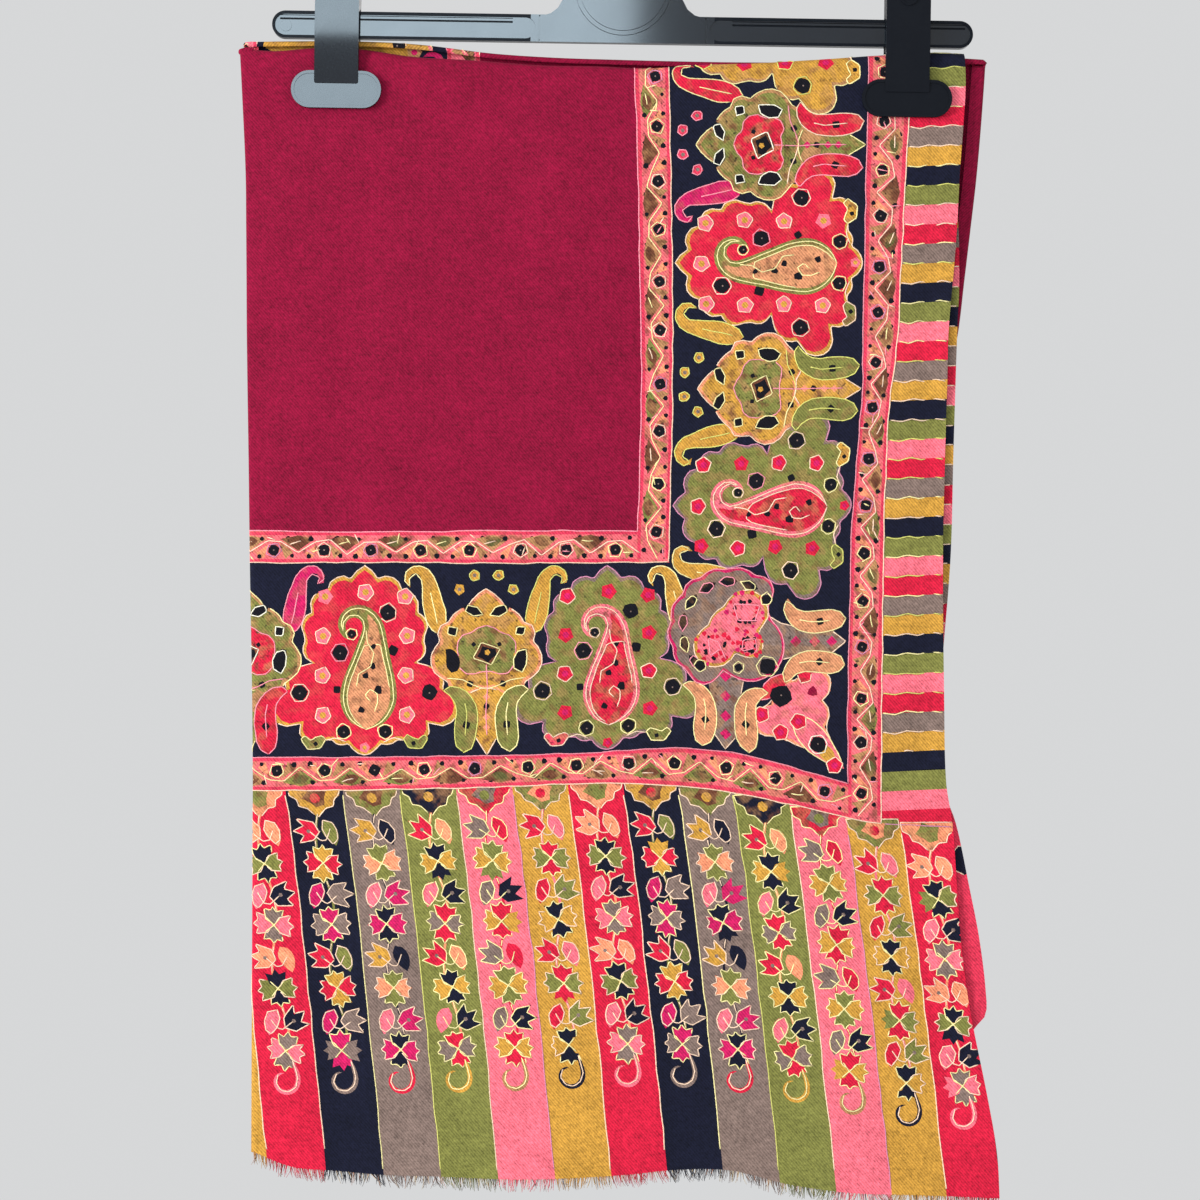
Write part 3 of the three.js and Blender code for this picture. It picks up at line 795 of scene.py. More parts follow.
BORDERS = (
    Border(-20, 5.0, 22.6, 123.6, 144.0),
    Border(18, 5.7, 23.2, 123.2, 143.8),
    Border(51, 7.2, 23.8, 122.7, 143.0),
    Border(86, 8.0, 24.4, 121.6, 141.0),
    Border(158, 9.4, 25.2, 120.4, 137.2),
    Border(186, 9.4, 24.9, 119.6, 133.6),
    Border(226, 8.6, 24.2, 116.2, 131.6),
    Border(251, 7.2, 23.4, 114.7, 130.7),
    Border(330, 7.0, 23.0, 112.7, 129.7),
    Border(410, 7.0, 23.0, 112.7, 129.3),
)


class Level(NamedTuple):
    """Level lines of the borders on the front, at one x."""

    x: float
    field: float
    inner: float
    band: float
    outer: float


LEVELS = (
    Level(-215, 251.2, 267.2, 364.8, 381.4),
    Level(-120, 251.6, 267.0, 364.2, 380.6),
    Level(-60, 251.2, 267.4, 363.4, 379.0),
    Level(-11, 251.0, 267.0, 361.8, 377.4),
    Level(21, 251.2, 267.0, 359.8, 378.2),
    Level(52, 251.2, 267.0, 361.8, 381.6),
    Level(84, 251.2, 267.0, 369.3, 388.0),
    Level(112, 251.2, 267.0, 377.3, 394.4),
    Level(130, 251.2, 267.0, 380.0, 397.8),
    Level(210, 251.2, 267.0, 382.0, 400.4),
)

BAND_DEPTH = 95.0  # the dark band, from its outer guard to its inner one
MOTIF_PITCH = 61.0
STRIPE_ORDER = (Dye.NAVY, Dye.OLIVE, Dye.PINK, Dye.RED, Dye.TAUPE, Dye.OCHRE)
END_ORDER = (Dye.NAVY, Dye.TAUPE, Dye.OLIVE, Dye.PINK, Dye.OCHRE, Dye.RED)
SIDE_STRIPE = 9.75
SIDE_STRIPE_FROM = 69.25  # drop of the top of a navy stripe beside the guard
SIDE_STRIPE_RISE = 0.045
END_SHEAR = (383.0, 566.0)  # drops between which the striped end leans over
FLECKS = ((0.84, (Dye.RED, Dye.MAGENTA, Dye.RED)), (0.5, (Dye.INK, Dye.INK, Dye.RED)))  # outer and inner


def end_stripe_x(number: float, drop: Array) -> Array:
    """Gives the x of a boundary between two stripes of the end.

    Args:
        number: which boundary, counted from the first navy stripe's left edge.
        drop: where along it.

    Returns:
        Its x.
    """
    start = -168.8 + 28.8 * number - 0.1 * number**2
    finish = -148.8 + 28.85 * number - 0.07 * number**2
    share = np.maximum((drop - END_SHEAR[0]) / (END_SHEAR[1] - END_SHEAR[0]), 0) ** 0.85
    return start + (finish - start) * share


def end_stripe(number: float, drop: Array) -> Array:
    """Draws one stripe of the end, from a boundary to the next."""
    left, right = (columns(end_stripe_x(number + step, drop), drop) for step in (0, 1))
    return np.vstack([left, right[::-1]])


class Vine(NamedTuple):
    """Colours of the vine on one stripe of the end."""

    pendant: Dye
    calyx: Dye
    pip: Dye
    first: tuple[Dye, Dye]
    second: tuple[Dye, Dye]
    tulip: Dye
    bud: Dye
    leaf: Dye
    second_leaf: Dye
    tail: Dye
    yarn: Yarn


VINES = {
    Dye.NAVY: Vine(
        Dye.OCHRE, Dye.UMBER, Dye.RED, (Dye.OCHRE, Dye.RED), (Dye.MAGENTA, Dye.TAUPE), Dye.RED, Dye.TAUPE,
        Dye.OLIVE, Dye.MAGENTA, Dye.TAUPE, Yarn.SHELL,
    ),
    Dye.TAUPE: Vine(
        Dye.OLIVE, Dye.UMBER, Dye.OCHRE, (Dye.OLIVE, Dye.PEACH), (Dye.NAVY, Dye.MAGENTA), Dye.OCHRE,
        Dye.MAGENTA, Dye.NAVY, Dye.PINK, Dye.RED, Yarn.SHELL,
    ),
    Dye.OLIVE: Vine(
        Dye.NAVY, Dye.NAVY, Dye.OCHRE, (Dye.NAVY, Dye.OCHRE), (Dye.RED, Dye.TAUPE), Dye.RED, Dye.NAVY,
        Dye.PEACH, Dye.PINK, Dye.OCHRE, Yarn.CREAM,
    ),
    Dye.PINK: Vine(
        Dye.RED, Dye.TAUPE, Dye.OLIVE, (Dye.OLIVE, Dye.OCHRE), (Dye.RED, Dye.OCHRE), Dye.TAUPE, Dye.NAVY,
        Dye.RED, Dye.TAUPE, Dye.TAN, Yarn.CREAM,
    ),
    Dye.OCHRE: Vine(
        Dye.OLIVE, Dye.PEACH, Dye.RED, (Dye.RED, Dye.OLIVE), (Dye.NAVY, Dye.OCHRE), Dye.RED, Dye.OLIVE,
        Dye.PINK, Dye.RED, Dye.NAVY, Yarn.SHELL,
    ),
    Dye.RED: Vine(
        Dye.PEACH, Dye.OLIVE, Dye.OLIVE, (Dye.NAVY, Dye.OLIVE), (Dye.TAUPE, Dye.PINK), Dye.PEACH, Dye.NAVY,
        Dye.PEACH, Dye.PINK, Dye.PINK, Yarn.SHELL,
    ),
}


class Cartouche(NamedTuple):
    """Colours of a big lobed motif with a paisley in it."""

    ground: Dye
    rim: Dye
    yarn: Yarn
    ring: Yarn
    paisley: Dye
    fill: Dye
    paisley_yarn: Yarn
    rosette: Dye
    mottle: float = 0.55


class Palmette(NamedTuple):
    """Colours of a pointed motif on a stem between two leaves."""

    ground: Dye
    rim: Dye
    heart: Dye
    eye: Dye
    stem: Dye
    spot: Dye
    drop: Dye
    leaf: Dye
    yarn: Yarn
    heart_yarn: Yarn
    insert_yarn: Yarn
    leaf_yarns: tuple[Yarn, ...]


RED_CARTOUCHE = Cartouche(
    Dye.RED, Dye.OCHRE, Yarn.SHELL, Yarn.SHELL, Dye.OLIVE, Dye.BUFF, Yarn.CREAM, Dye.PINK, 0.2
)
OLIVE_CARTOUCHE = Cartouche(
    Dye.OLIVE, Dye.TAUPE, Yarn.MAUVE, Yarn.SHELL, Dye.PINK, Dye.RED, Yarn.SHELL, Dye.RED
)
OCHRE_CARTOUCHE = Cartouche(
    Dye.OCHRE, Dye.TAN, Yarn.CREAM, Yarn.LIME, Dye.PINK, Dye.RED, Yarn.SHELL, Dye.RED
)
TOP_CARTOUCHE = Cartouche(
    Dye.OCHRE, Dye.PINK, Yarn.CREAM, Yarn.BLUSH, Dye.PINK, Dye.OCHRE, Yarn.SHELL, Dye.TAN
)
OCHRE_PALMETTE = Palmette(
    Dye.OCHRE, Dye.PEACH, Dye.OLIVE, Dye.UMBER, Dye.OCHRE, Dye.OCHRE, Dye.PEACH, Dye.OLIVE,
    Yarn.SHELL, Yarn.BLUSH, Yarn.CREAM, (Yarn.LIME, Yarn.CREAM),
)
OLIVE_PALMETTE = Palmette(
    Dye.OLIVE, Dye.TAN, Dye.RED, Dye.UMBER, Dye.OLIVE, Dye.TAN, Dye.MAGENTA, Dye.RED,
    Yarn.CREAM, Yarn.BLUSH, Yarn.WHITE, (Yarn.BLUSH, Yarn.SHELL),
)


@dataclass
class Motifs:
    """Draws motifs on a chart through a placing function that takes motif places to the chart.

    A motif stands on v = 0 and points to v = BAND_DEPTH; u runs across it.
    """

    chart: Chart

    def put(self, at: Place, outline: Array, dye: Dye, yarn: Yarn | None = None) -> None:
        """Prints an outline given in motif places."""
        self.chart.patch(placed(at, outline), dye, yarn)

    def sew(self, at: Place, line: Array, yarn: Yarn) -> None:
        """Stitches a line given in motif places."""
        self.chart.stitch(placed(at, line), yarn, 0.2)

    def berry(self, at: Place, u: float, v: float, radius: float = 3.6, yarn: Yarn = Yarn.SHELL) -> None:
        """Draws a round dark berry in a loose stitched hexagon."""
        self.put(at, polygon(9, radius, self.chart.hand.random(), 0.12) + (u, v), Dye.INK)
        if self.chart.maybe(yarn, 0.9):
            turn, uneven = self.chart.hand.random(), self.chart.hand.uniform(0, 0.12)
            self.sew(at, closed(polygon(6, radius + 0.7, turn, uneven) + (u, v)), yarn)
        self.put(at, polygon(5, 0.45) + (u, v - 0.3), Dye.TAUPE)

    def blot(self, at: Place, u: float, v: float, radius: float = 2.2) -> None:
        """Draws a small dark spot with no stitches."""
        self.put(at, polygon(8, radius, self.chart.hand.random(), 0.2) + (u, v), Dye.INK)

    def rosette(
        self, at: Place, u: float, v: float, dye: Dye, radius: float = 4.0, yarn: Yarn | None = None
    ) -> None:
        """Draws a small five-sided flower with a heart of another colour."""
        turn = self.chart.hand.random()
        self.put(at, polygon(10, radius, turn, 0.2) + (u, v), dye)
        heart = Dye.OCHRE if dye in (Dye.PINK, Dye.PEACH) else Dye.MAGENTA
        self.put(at, polygon(6, radius * 0.42, turn) + (u, v), heart)
        if yarn is not None:
            self.sew(at, closed(polygon(5, radius * 1.05, turn) + (u, v)), yarn)

    def cartouche(self, at: Place, look: Cartouche) -> None:
        """Draws a scalloped cartouche, flared at its foot, with a curled paisley and a scatter of flowers.

        Args:
            at: places it.
            look: its colours.
        """
        angles = np.radians([0, 27, 54, 81, 108, 133])
        head = [(24.6 * math.sin(a), 60 + 23.4 * math.cos(a), 7.3) for a in angles]
        foot = [(31, 36, 8.6), (38.5, 23.5, 8.4), (25, 13.5, 7.6), (11, 12.5, 6.6), (0, 8.6, 7.6)]
        outline = bouquet((0, 42), mirrored(head + foot + [(0, 40, 21)]), 84, tip=2.8, tip_width=0.08)
        self.chart.bleed = look.mottle
        self.chart.ring(
            placed(at, outline), look.rim, look.ground, look.yarn, 0.955, placed(at, spots((0, 45)))[0]
        )
        self.chart.bleed = 0.0
        for column in (-1, 1):
            for row in range(4):
                u = column * (21.0 - 0.8 * (row == 3)) + self.chart.hand.uniform(-0.5, 0.5)
                self.rosette(at, u, 20.5 + 19.3 * row, look.rosette, 4.1, self.chart.maybe(look.ring, 0.75))
            self.berry(at, column * 32.5, 31.5, 4.2, look.ring)
            self.berry(at, column * 10.4, 12.4, 3.5, Yarn.CREAM)
            self.blot(at, column * 13.8, 33.0)
        self.rosette(at, 0.5, 80.5, look.rosette, 4.2, self.chart.maybe(look.ring, 0.8))
        self.rosette(at, 0.0, 4.6, look.rosette, 2.8)
        self.berry(at, 11.6, 70.5, 4.2)
        self.berry(at, -12.2, 51.0, 4.2, Yarn.BLUSH)
        self.blot(at, 14.2, 52.0, 3.0)
        self.paisley(at, look)

    def paisley(self, at: Place, look: Cartouche) -> None:
        """Draws the paisley in a cartouche: a fuzzy rim, a filled belly, and a curl to one side."""
        shape = Swash(
            81, 14.2, heading=85, curl=255, curl_from=0.56, belly=0.2, blunt=0.45, taper=Taper.TAIL, steps=34
        )
        foot = np.array([0.5, 13.6])
        self.chart.bleed = 0.75
        self.put(at, shape.outline() + foot, look.paisley)
        self.put(at, shape.outline(3.3, 0.7) + foot, look.fill)
        self.chart.bleed = 0.0
        spine, _, share = shape.spine()
        self.sew(at, closed(shape.outline(1.5, 0.97) + foot), look.paisley_yarn)
        self.sew(at, shape.outline(3.6, 0.52)[17:] + foot, look.paisley_yarn)
        dots = ((4, -3.0, 1.9), (8, 4.6, 2.5), (11, -2.2, 1.8), (13, 0.8, 1.9), (17, 0.4, 1.5))
        for k, (i, aside, radius) in enumerate(dots):
            self.put(at, polygon(7, radius, 0.3 * k, 0.25) + (spine[i] + foot + (aside, 0)), Dye.INK)
        swirl = Swash(26, 1.0, heading=70, curl=300, curl_from=0.2, steps=14).spine()[0]
        self.sew(at, swirl[::2] * 0.9 + foot + (4.4, 8.5), look.paisley_yarn)
        twig = spots((-4.5, 21), (-3.6, 27), (2.6, 30.5), (4.4, 37), (1.0, 42), (0.4, 48))
        self.sew(at, twig + foot, look.paisley_yarn)
        self.berry(at, *(spine[-1] + foot + (1.0, 1.6)), 2.3, look.paisley_yarn)

    def leaf(self, at: Place, foot: tuple[float, float], side: int, dye: Dye, yarn: Yarn) -> None:
        """Draws a bent leaf that stands beside a palmette's stem and nods outwards."""
        shape = Swash(
            38, 5.6, heading=90 + side * 6, curl=-side * 105, curl_from=0.42, belly=0.34, blunt=0.55, steps=14
        )
        place = np.array(foot)
        self.chart.bleed = 0.5
        self.put(at, shape.outline() + place, dye, yarn)
        self.chart.bleed = 0.0
        spine, *_ = shape.spine()
        self.blot(at, *(spine[5] + place), 2.2)
        self.sew(at, spine[3:11:2] + place, yarn)

    def palmette(self, at: Place, look: Palmette) -> None:
        """Draws a pointed, lobed head on a stem between two bent leaves.

        Args:
            at: places it.
            look: its colours.
        """
        chart = self.chart
        chart.bleed = 0.9
        stem = spots((-19, 40), (-13, 33), (-7.5, 27), (-5.2, 16), (-6.0, 10), (0, 0.5))
        stem = np.vstack([stem, stem[-2::-1] * (-1, 1)])
        self.put(at, stem, look.stem, look.yarn)
        lobes = [(0, 67, 10), (9.6, 63.5, 8.6), (19.4, 60.8, 4.8), (18.4, 47, 9.6), (11.5, 38.5, 8.4)]
        outline = bouquet((0, 53), mirrored(lobes + [(0, 42, 9)]), 64, tip=5.5, tip_width=0.34)
        middle = placed(at, spots((0, 53)))[0]
        chart.ring(placed(at, outline), look.rim, look.ground, look.yarn, 0.93, middle)
        heart = bouquet((0, 51), mirrored([(0, 58, 6.5), (8.6, 54, 6.4), (8.0, 46, 6.0), (0, 47, 6)]), 34)
        self.put(at, heart, look.heart, look.heart_yarn)
        self.put(at, polygon(9, 6.4, 0.1, 0.24) + (0, 50.5), look.eye)
        chart.bleed = 0.0
        self.flower_eye(at, look)
        for side in (-1, 1):
            chart.bleed = 0.5
            self.put(at, polygon(9, 4.4, 0.2, 0.2) * (1, 1.3) + (side * 4.6, 27.0), look.spot)
            chart.bleed = 0.0
            self.leaf(at, (side * 11.5, 1.8), side, look.leaf, chart.hand.choice(look.leaf_yarns))
            insert = Swash(10.5, 2.7, heading=90 - side * 68, belly=0.5, blunt=0.6, steps=6)
            self.put(at, insert.outline() + (side * 1.8, 69.5), Dye.INK, look.insert_yarn)
            self.put(at, polygon(4, 2.9, 0.1) + (side * 17.0, 61.5), Dye.INK, look.insert_yarn)
            comma = Swash(13, 3.5, heading=90 + side * 20, curl=-side * 80, belly=0.4, blunt=0.6, steps=8)
            self.put(at, comma.outline() + (side * 17.6, 41.0), Dye.INK, chart.maybe(look.insert_yarn, 0.85))
            self.blot(at, side * 8.2, 35.5, 1.9)
            fork = spots((side * 19.5, 38.5), (side * 12, 37.5), (side * 5.5, 34.5), (0, 33))
            self.sew(at, fork, chart.hand.choice(look.leaf_yarns))
        self.blot(at, 0, 24.5, 1.8)
        for v in (14.0, 19.0, 29.0):
            self.put(at, polygon(4, 1.9, 0.0) + (0, v), look.drop)
        self.sew(at, spots((0, 45), (0.3, 33), (-0.2, 22), (0, 10)), look.heart_yarn)

    def flower_eye(self, at: Place, look: Palmette) -> None:
        """Draws the dark, outlined eye in a palmette's heart."""
        self.put(at, polygon(9, 4.3, 0.1, 0.3) * (1.2, 1) + (0.2, 50.2), Dye.INK)
        self.put(at, polygon(5, 1.5, 0.2) + (0.4, 51.0), Dye.OCHRE)
        for side in (-1, 1):
            self.blot(at, side * 6.4, 55.0, 1.3)
        self.sew(at, closed(polygon(8, 6.0, 0.06, 0.3) * (1.2, 1) + (0, 50.5)), look.insert_yarn)

    def horn(self, at: Place, u: float, v: float, side: int, dye: Dye, yarn: Yarn) -> None:
        """Draws a curved horn whose tip hooks over towards the motif beside it."""
        shape = Swash(
            47, 5.4, heading=90 + side * 12, curl=side * 230, curl_from=0.56, belly=0.24, blunt=0.45,
            taper=Taper.TAIL, steps=18,
        )
        foot = np.array([u, v])
        self.chart.bleed = 0.35
        self.put(at, shape.outline() + foot, dye, yarn)
        self.chart.bleed = 0.0
        spine, *_ = shape.spine()
        self.sew(at, spine[2:9:2] + foot, yarn)

    def bud(self, at: Place, u: float, side: int, dye: Dye) -> None:
        """Draws a small bud on a thread of stem, close to the outer guard."""
        lip = spots((6.4, 1.8), (4.2, 3.6), (1.4, 1.2), (-1.2, 2.4), (-4.4, 3.4))
        cup = np.vstack([spots((-6.2, 1.5), (-3.4, -2.8), (3, -3.2)), lip])
        yarn = self.chart.hand.choice((Yarn.SHELL, Yarn.CREAM, Yarn.LIME))
        self.chart.bleed = 0.8
        self.put(at, cup * (side, 1) + (u, 7.2), dye, yarn)
        self.chart.bleed = 0.0
        self.blot(at, u - side * 1.0, 6.6, 1.3)
        self.sew(at, spots((u - side * 6, 8.2), (u - side * 11, 9.4), (u - side * 16, 7.4)), Yarn.SHELL)

    def between(self, at: Place, dye: Dye, horns: tuple[Dye, Dye], flowers: bool) -> None:
        """Fills the ground round a cartouche: two horns, two buds, and small flowers over the next palmette.

        Args:
            at: places the cartouche.
            dye: colour of the small flowers.
            horns: colours of the two horns.
            flowers: whether to draw the small flowers.
        """
        for side, horn in zip((-1, 1), horns):
            yarn = Yarn.BLUSH if horn is Dye.MAGENTA else self.chart.hand.choice((Yarn.CREAM, Yarn.LIME))
            self.horn(at, side * 37.5, 60.0, side, horn, yarn)
            self.bud(at, side * 25.5, side, self.chart.hand.choice((Dye.OCHRE, Dye.OLIVE, Dye.ROSE)))
        if flowers:
            for u, v in ((47.5, 82.0), (55.0, 89.0), (67.0, 89.0), (74.5, 82.0)):
                yarn = self.chart.maybe(Yarn.LIME if dye is Dye.OCHRE else Yarn.BLUSH, 0.85)
                self.put(at, polygon(5, 3.0, self.chart.hand.random(), 0.1) + (u, v), dye, yarn)
                self.put(at, polygon(5, 1.1) + (u, v), Dye.TAUPE)


@dataclass(frozen=True)
class Band:
    """A stretch of the dark band with a line at its foot and one at its head."""

    foot: Line
    head: Line
    upright: bool

    def at(self, middle: float) -> Place:
        """Places a motif whose middle is that far along the band."""

        def place(u: Array, v: Array) -> tuple[Array, Array]:
            """Takes motif places to the chart."""
            run = middle + u
            across = self.foot(run) + (self.head(run) - self.foot(run)) * v / BAND_DEPTH
            return (across, run) if self.upright else (run, across)

        return place

    def line(self, share: float, start: float, end: float, pitch: float = 9.0) -> Array:
        """Draws a line along the band, a share of the way from its foot to its head."""
        run = np.linspace(start, end, max(int(abs(end - start) / pitch), 2))
        across = self.foot(run) + (self.head(run) - self.foot(run)) * share
        return columns(across, run) if self.upright else columns(run, across)


@dataclass
class GuardBorder:
    """A narrow border: mottled salmon ground, a zigzag vine, dark beads, small leaves and dots.

    Across it, 0 is the side away from the dark band and 1 the side along it.
    """

    chart: Chart
    period: float = 24.4

    def draw(self, band: Band, start: float, end: float) -> None:
        """Draws the border along a band.

        Args:
            band: the band, as narrow as the border.
            start: where along it to start.
            end: where to stop.
        """
        count = max(int(round(abs(end - start) / self.period)), 1)
        step = (end - start) / count
        hand, chart = self.chart.hand, self.chart

        def spot(turn: float, share: float) -> Array:
            """Gives a place so many repeats along the border and a share of the way across it."""
            return band.line(share, start + step * turn, start + step * turn)[0]

        chart.bleed = 0.2
        for share in (0.07, 0.94):
            edge = np.vstack([band.line(share - 0.05, start, end), band.line(share + 0.05, end, start)])
            chart.patch(edge, Dye.ROSE)
        zigzag = [spot(0, 0.7)]
        for k in range(count):
            stray = hand.uniform(-0.05, 0.05)
            zigzag += [spot(k + 0.36, 0.34 + stray), spot(k + 0.66, 0.3 - stray), spot(k + 1, 0.7 + stray)]
            chart.bleed = 1.0
            ground = hand.choice((Dye.TAN, Dye.OLIVE, Dye.UMBER))
            for corners, dye in (
                (((-0.36, 0.24), (0, 0.62), (0.34, 0.24), (0, 0.13)), ground),
                (((0.14, 0.7), (0.4, 0.4), (0.3, 0.86)), Dye.PEACH),
                (((0.62, 0.36), (0.9, 0.66), (0.74, 0.88)), Dye.TAN),
            ):
                chart.patch(np.array([spot(k + turn, share) for turn, share in corners]), dye)
            way = spot(k + 0.05, 0.33) - spot(k, 0.33)
            self.sprig(spot(k, 0.33), way, hand.choice((Dye.MOSS, Dye.UMBER)))
            yarn = hand.choice((Yarn.CREAM, Yarn.SHELL, Yarn.CREAM, Yarn.MAUVE))
            self.bead(spot(k + 0.52 + stray, 0.6), yarn)
            for turn, share in ((0.2, 0.8), (0.24, 0.24), (0.8, 0.22), (0.86, 0.78)):
                dot = spot(k + turn + hand.uniform(-0.03, 0.03), share)
                chart.patch(polygon(6, hand.uniform(1.1, 1.7), hand.random(), 0.15) + dot, Dye.INK)
            for _ in range(2):
                middle, turn = spot(k + hand.random(), hand.uniform(0.2, 0.85)), hand.uniform(0, math.pi)
                reach = hand.uniform(1.6, 2.8) * np.array([math.cos(turn), math.sin(turn)])
                yarn = hand.choice((Yarn.CREAM, Yarn.BLUSH, Yarn.SHELL))
                chart.stitch(np.array([middle - reach, middle + reach]), yarn, 0.3)
        chart.stitch(np.array(zigzag), hand.choice((Yarn.SHELL, Yarn.CREAM)), 0.5)

    def sprig(self, middle: Array, way: Array, dye: Dye) -> None:
        """Draws one small leaf with its vein."""
        hand = self.chart.hand
        turn = math.degrees(math.atan2(way[1], way[0])) + hand.uniform(-26, 26)
        shape = Swash(8.8, 2.4, turn, belly=0.5, steps=6)
        foot = middle - 4.4 * toward(turn)
        self.chart.bleed = 0.8
        self.chart.patch(shape.outline() + foot, dye)
        self.chart.bleed = 0.0
        spine, *_ = shape.spine()
        if self.chart.maybe(Yarn.CREAM, 0.8):
            self.chart.stitch(spine[0:6:2] + foot, hand.choice((Yarn.CREAM, Yarn.SHELL)), 0.3)

    def bead(self, middle: Array, yarn: Yarn) -> None:
        """Draws one dark bead in an angular ring of stitches."""
        hand, chart = self.chart.hand, self.chart
        chart.bleed = 0.0
        chart.patch(polygon(8, hand.uniform(2.9, 3.4), hand.random(), 0.14) + middle, Dye.INK)
        chart.patch(polygon(5, 0.45) + middle, Dye.TAUPE)
        ring = polygon(5, 3.9, hand.random()) + middle
        if chart.maybe(yarn, 0.92):
            chart.stitch(closed(ring), yarn, 0.35)


@dataclass
class FrontPrint:
    """The print on the front: plain field, two guards round a dark band, striped side and striped end."""

    chart: Chart = field(default_factory=Chart)
    left: float = -215.0
    top: float = -14.0
    foot: float = 600.0

    def __post_init__(self) -> None:
        """Reads the border lines from their tables."""
        self.upright = {name: along(BORDERS, "drop", name) for name in Border._fields[1:]}
        self.level = {name: along(LEVELS, "x", name) for name in Level._fields[1:]}

    def corner(self, name: str) -> tuple[float, float]:
        """Finds where a border's upright line meets its level line."""
        x, drop = 100.0, 300.0
        for _ in range(12):
            x, drop = float(self.upright[name](drop)), float(self.level[name](x))
        return x, drop

    def elbow(self, name: str, pitch: float = 9.0) -> Array:
        """Draws a border's line from the top, round its corner and out to the left."""
        x, drop = self.corner(name)
        down = np.linspace(self.top, drop, int((drop - self.top) / pitch))
        out = np.linspace(x, self.left, int((x - self.left) / pitch))[1:]
        upright = columns(self.upright[name](down), down)
        level = columns(out, self.level[name](out))
        return np.vstack([upright, level])

    def ground(self) -> None:
        """Prints the plain areas and the striped end's vines, from the outside in."""
        self.side_stripes()
        self.end_stripes()
        self.vines()
        areas = {"outer": Dye.SALMON, "band": Dye.NAVY, "inner": Dye.SALMON, "field": Dye.CRIMSON}
        for name, dye in areas.items():
            self.chart.bleed = 0.8 if dye is Dye.SALMON else 0.0
            self.chart.patch(np.vstack([self.elbow(name), [[self.left, self.top]]]), dye)

    def side_stripes(self) -> None:
        """Prints the level stripes between the outer guard and the selvedge."""
        x = np.array([120.0, 150.0, 200.0])
        slope = -SIDE_STRIPE_RISE * (x - 138.0)
        for number in range(-9, 36):
            top = SIDE_STRIPE_FROM + SIDE_STRIPE * number
            if top > 396:
                break
            upper = columns(x, top + slope)
            lower = columns(x, np.minimum(top + SIDE_STRIPE, 402) + slope)
            self.chart.patch(np.vstack([upper, lower[::-1]]), STRIPE_ORDER[number % 6])
            if top > self.top:
                start, end = float(self.upright["outer"](top)) + 0.8, float(SELVEDGE(top)) - 0.8
                run = np.linspace(start, end, 6)
                zig = 0.5 * np.where(np.arange(6) % 2, 1, -1)
                edge = columns(run, top - SIDE_STRIPE_RISE * (run - 138.0) + zig)
                self.chart.stitch(edge, self.chart.hand.choice((Yarn.CREAM, Yarn.SHELL, Yarn.LIME)), 0.35)

    def end_stripes(self) -> None:
        """Prints the upright stripes of the end."""
        drop = np.linspace(370, self.foot, 26)
        for number in range(-3, 14):
            self.chart.patch(end_stripe(number, drop), END_ORDER[number % 6])
        self.last_side_stripes()

    def last_side_stripes(self) -> None:
        """Prints the last of the side stripes over the end stripes, down to the line between them."""
        x = np.array([120.0, 150.0, 175.0, 205.0])
        for number in range(30, 34):
            top = SIDE_STRIPE_FROM + SIDE_STRIPE * number
            upper = columns(x, top - SIDE_STRIPE_RISE * (x - 138.0))
            low = np.minimum(top + SIDE_STRIPE + (40 if number == 33 else 0), self.level["outer"](x))
            lower = columns(x, low - SIDE_STRIPE_RISE * (x - 138.0) * (number < 33))
            self.chart.patch(np.vstack([upper, lower[::-1]]), STRIPE_ORDER[number % 6])

    def border_stitches(self) -> None:
        """Stitches along the edges of the guards."""
        yarns = {"field": Yarn.BLUSH, "inner": Yarn.SHELL, "band": Yarn.BLUSH, "outer": Yarn.SHELL}
        for name, yarn in yarns.items():
            self.chart.stitch(self.elbow(name, 7.0), yarn, 0.35, 0.85)
        x = np.linspace(131, 166, 6)
        self.chart.stitch(columns(x, self.level["outer"](x)), Yarn.MAUVE, 0.3)

    def guards(self) -> None:
        """Draws the two guard borders, upright and level."""
        guard = GuardBorder(self.chart)
        for far, near in (("field", "inner"), ("outer", "band")):
            x, drop = (sum(pair) / 2 for pair in zip(self.corner(far), self.corner(near)))
            upright = Band(self.upright[far], self.upright[near], True)
            level = Band(self.level[far], self.level[near], False)
            guard.draw(upright, self.top, drop + 6)
            guard.draw(level, self.left + 4, x - 7)

    def motifs(self) -> None:
        """Draws the motifs of the dark band, upright, round the corner, and level."""
        draw = Motifs(self.chart)
        upright = Band(self.upright["band"], self.upright["inner"], True)
        level = Band(self.level["band"], self.level["inner"], False)
        bands = (
            (upright, (-4.0, 117.0, 238.5), (OCHRE_CARTOUCHE, RED_CARTOUCHE, OLIVE_CARTOUCHE)),
            (level, (-129.0, -7.5), (RED_CARTOUCHE, OLIVE_CARTOUCHE)),
        )
        for band, middles, looks in bands:
            for middle, look in zip(middles, looks):
                draw.cartouche(band.at(middle), look)
                horns = (Dye.MAGENTA, Dye.OCHRE) if look is RED_CARTOUCHE else (Dye.OCHRE, Dye.OCHRE)
                horns = (Dye.RED, Dye.RED) if look is OCHRE_CARTOUCHE else horns
                dots = Dye.OCHRE if look is RED_CARTOUCHE else Dye.ROSE
                draw.between(band.at(middle), dots, horns, look is not OLIVE_CARTOUCHE)
        draw.palmette(upright.at(58.0), OLIVE_PALMETTE)
        draw.palmette(upright.at(180.0), OCHRE_PALMETTE)
        draw.palmette(level.at(-188.5), OLIVE_PALMETTE)
        draw.palmette(level.at(-68.0), OCHRE_PALMETTE)
        self.corner_piece(draw, upright, level)

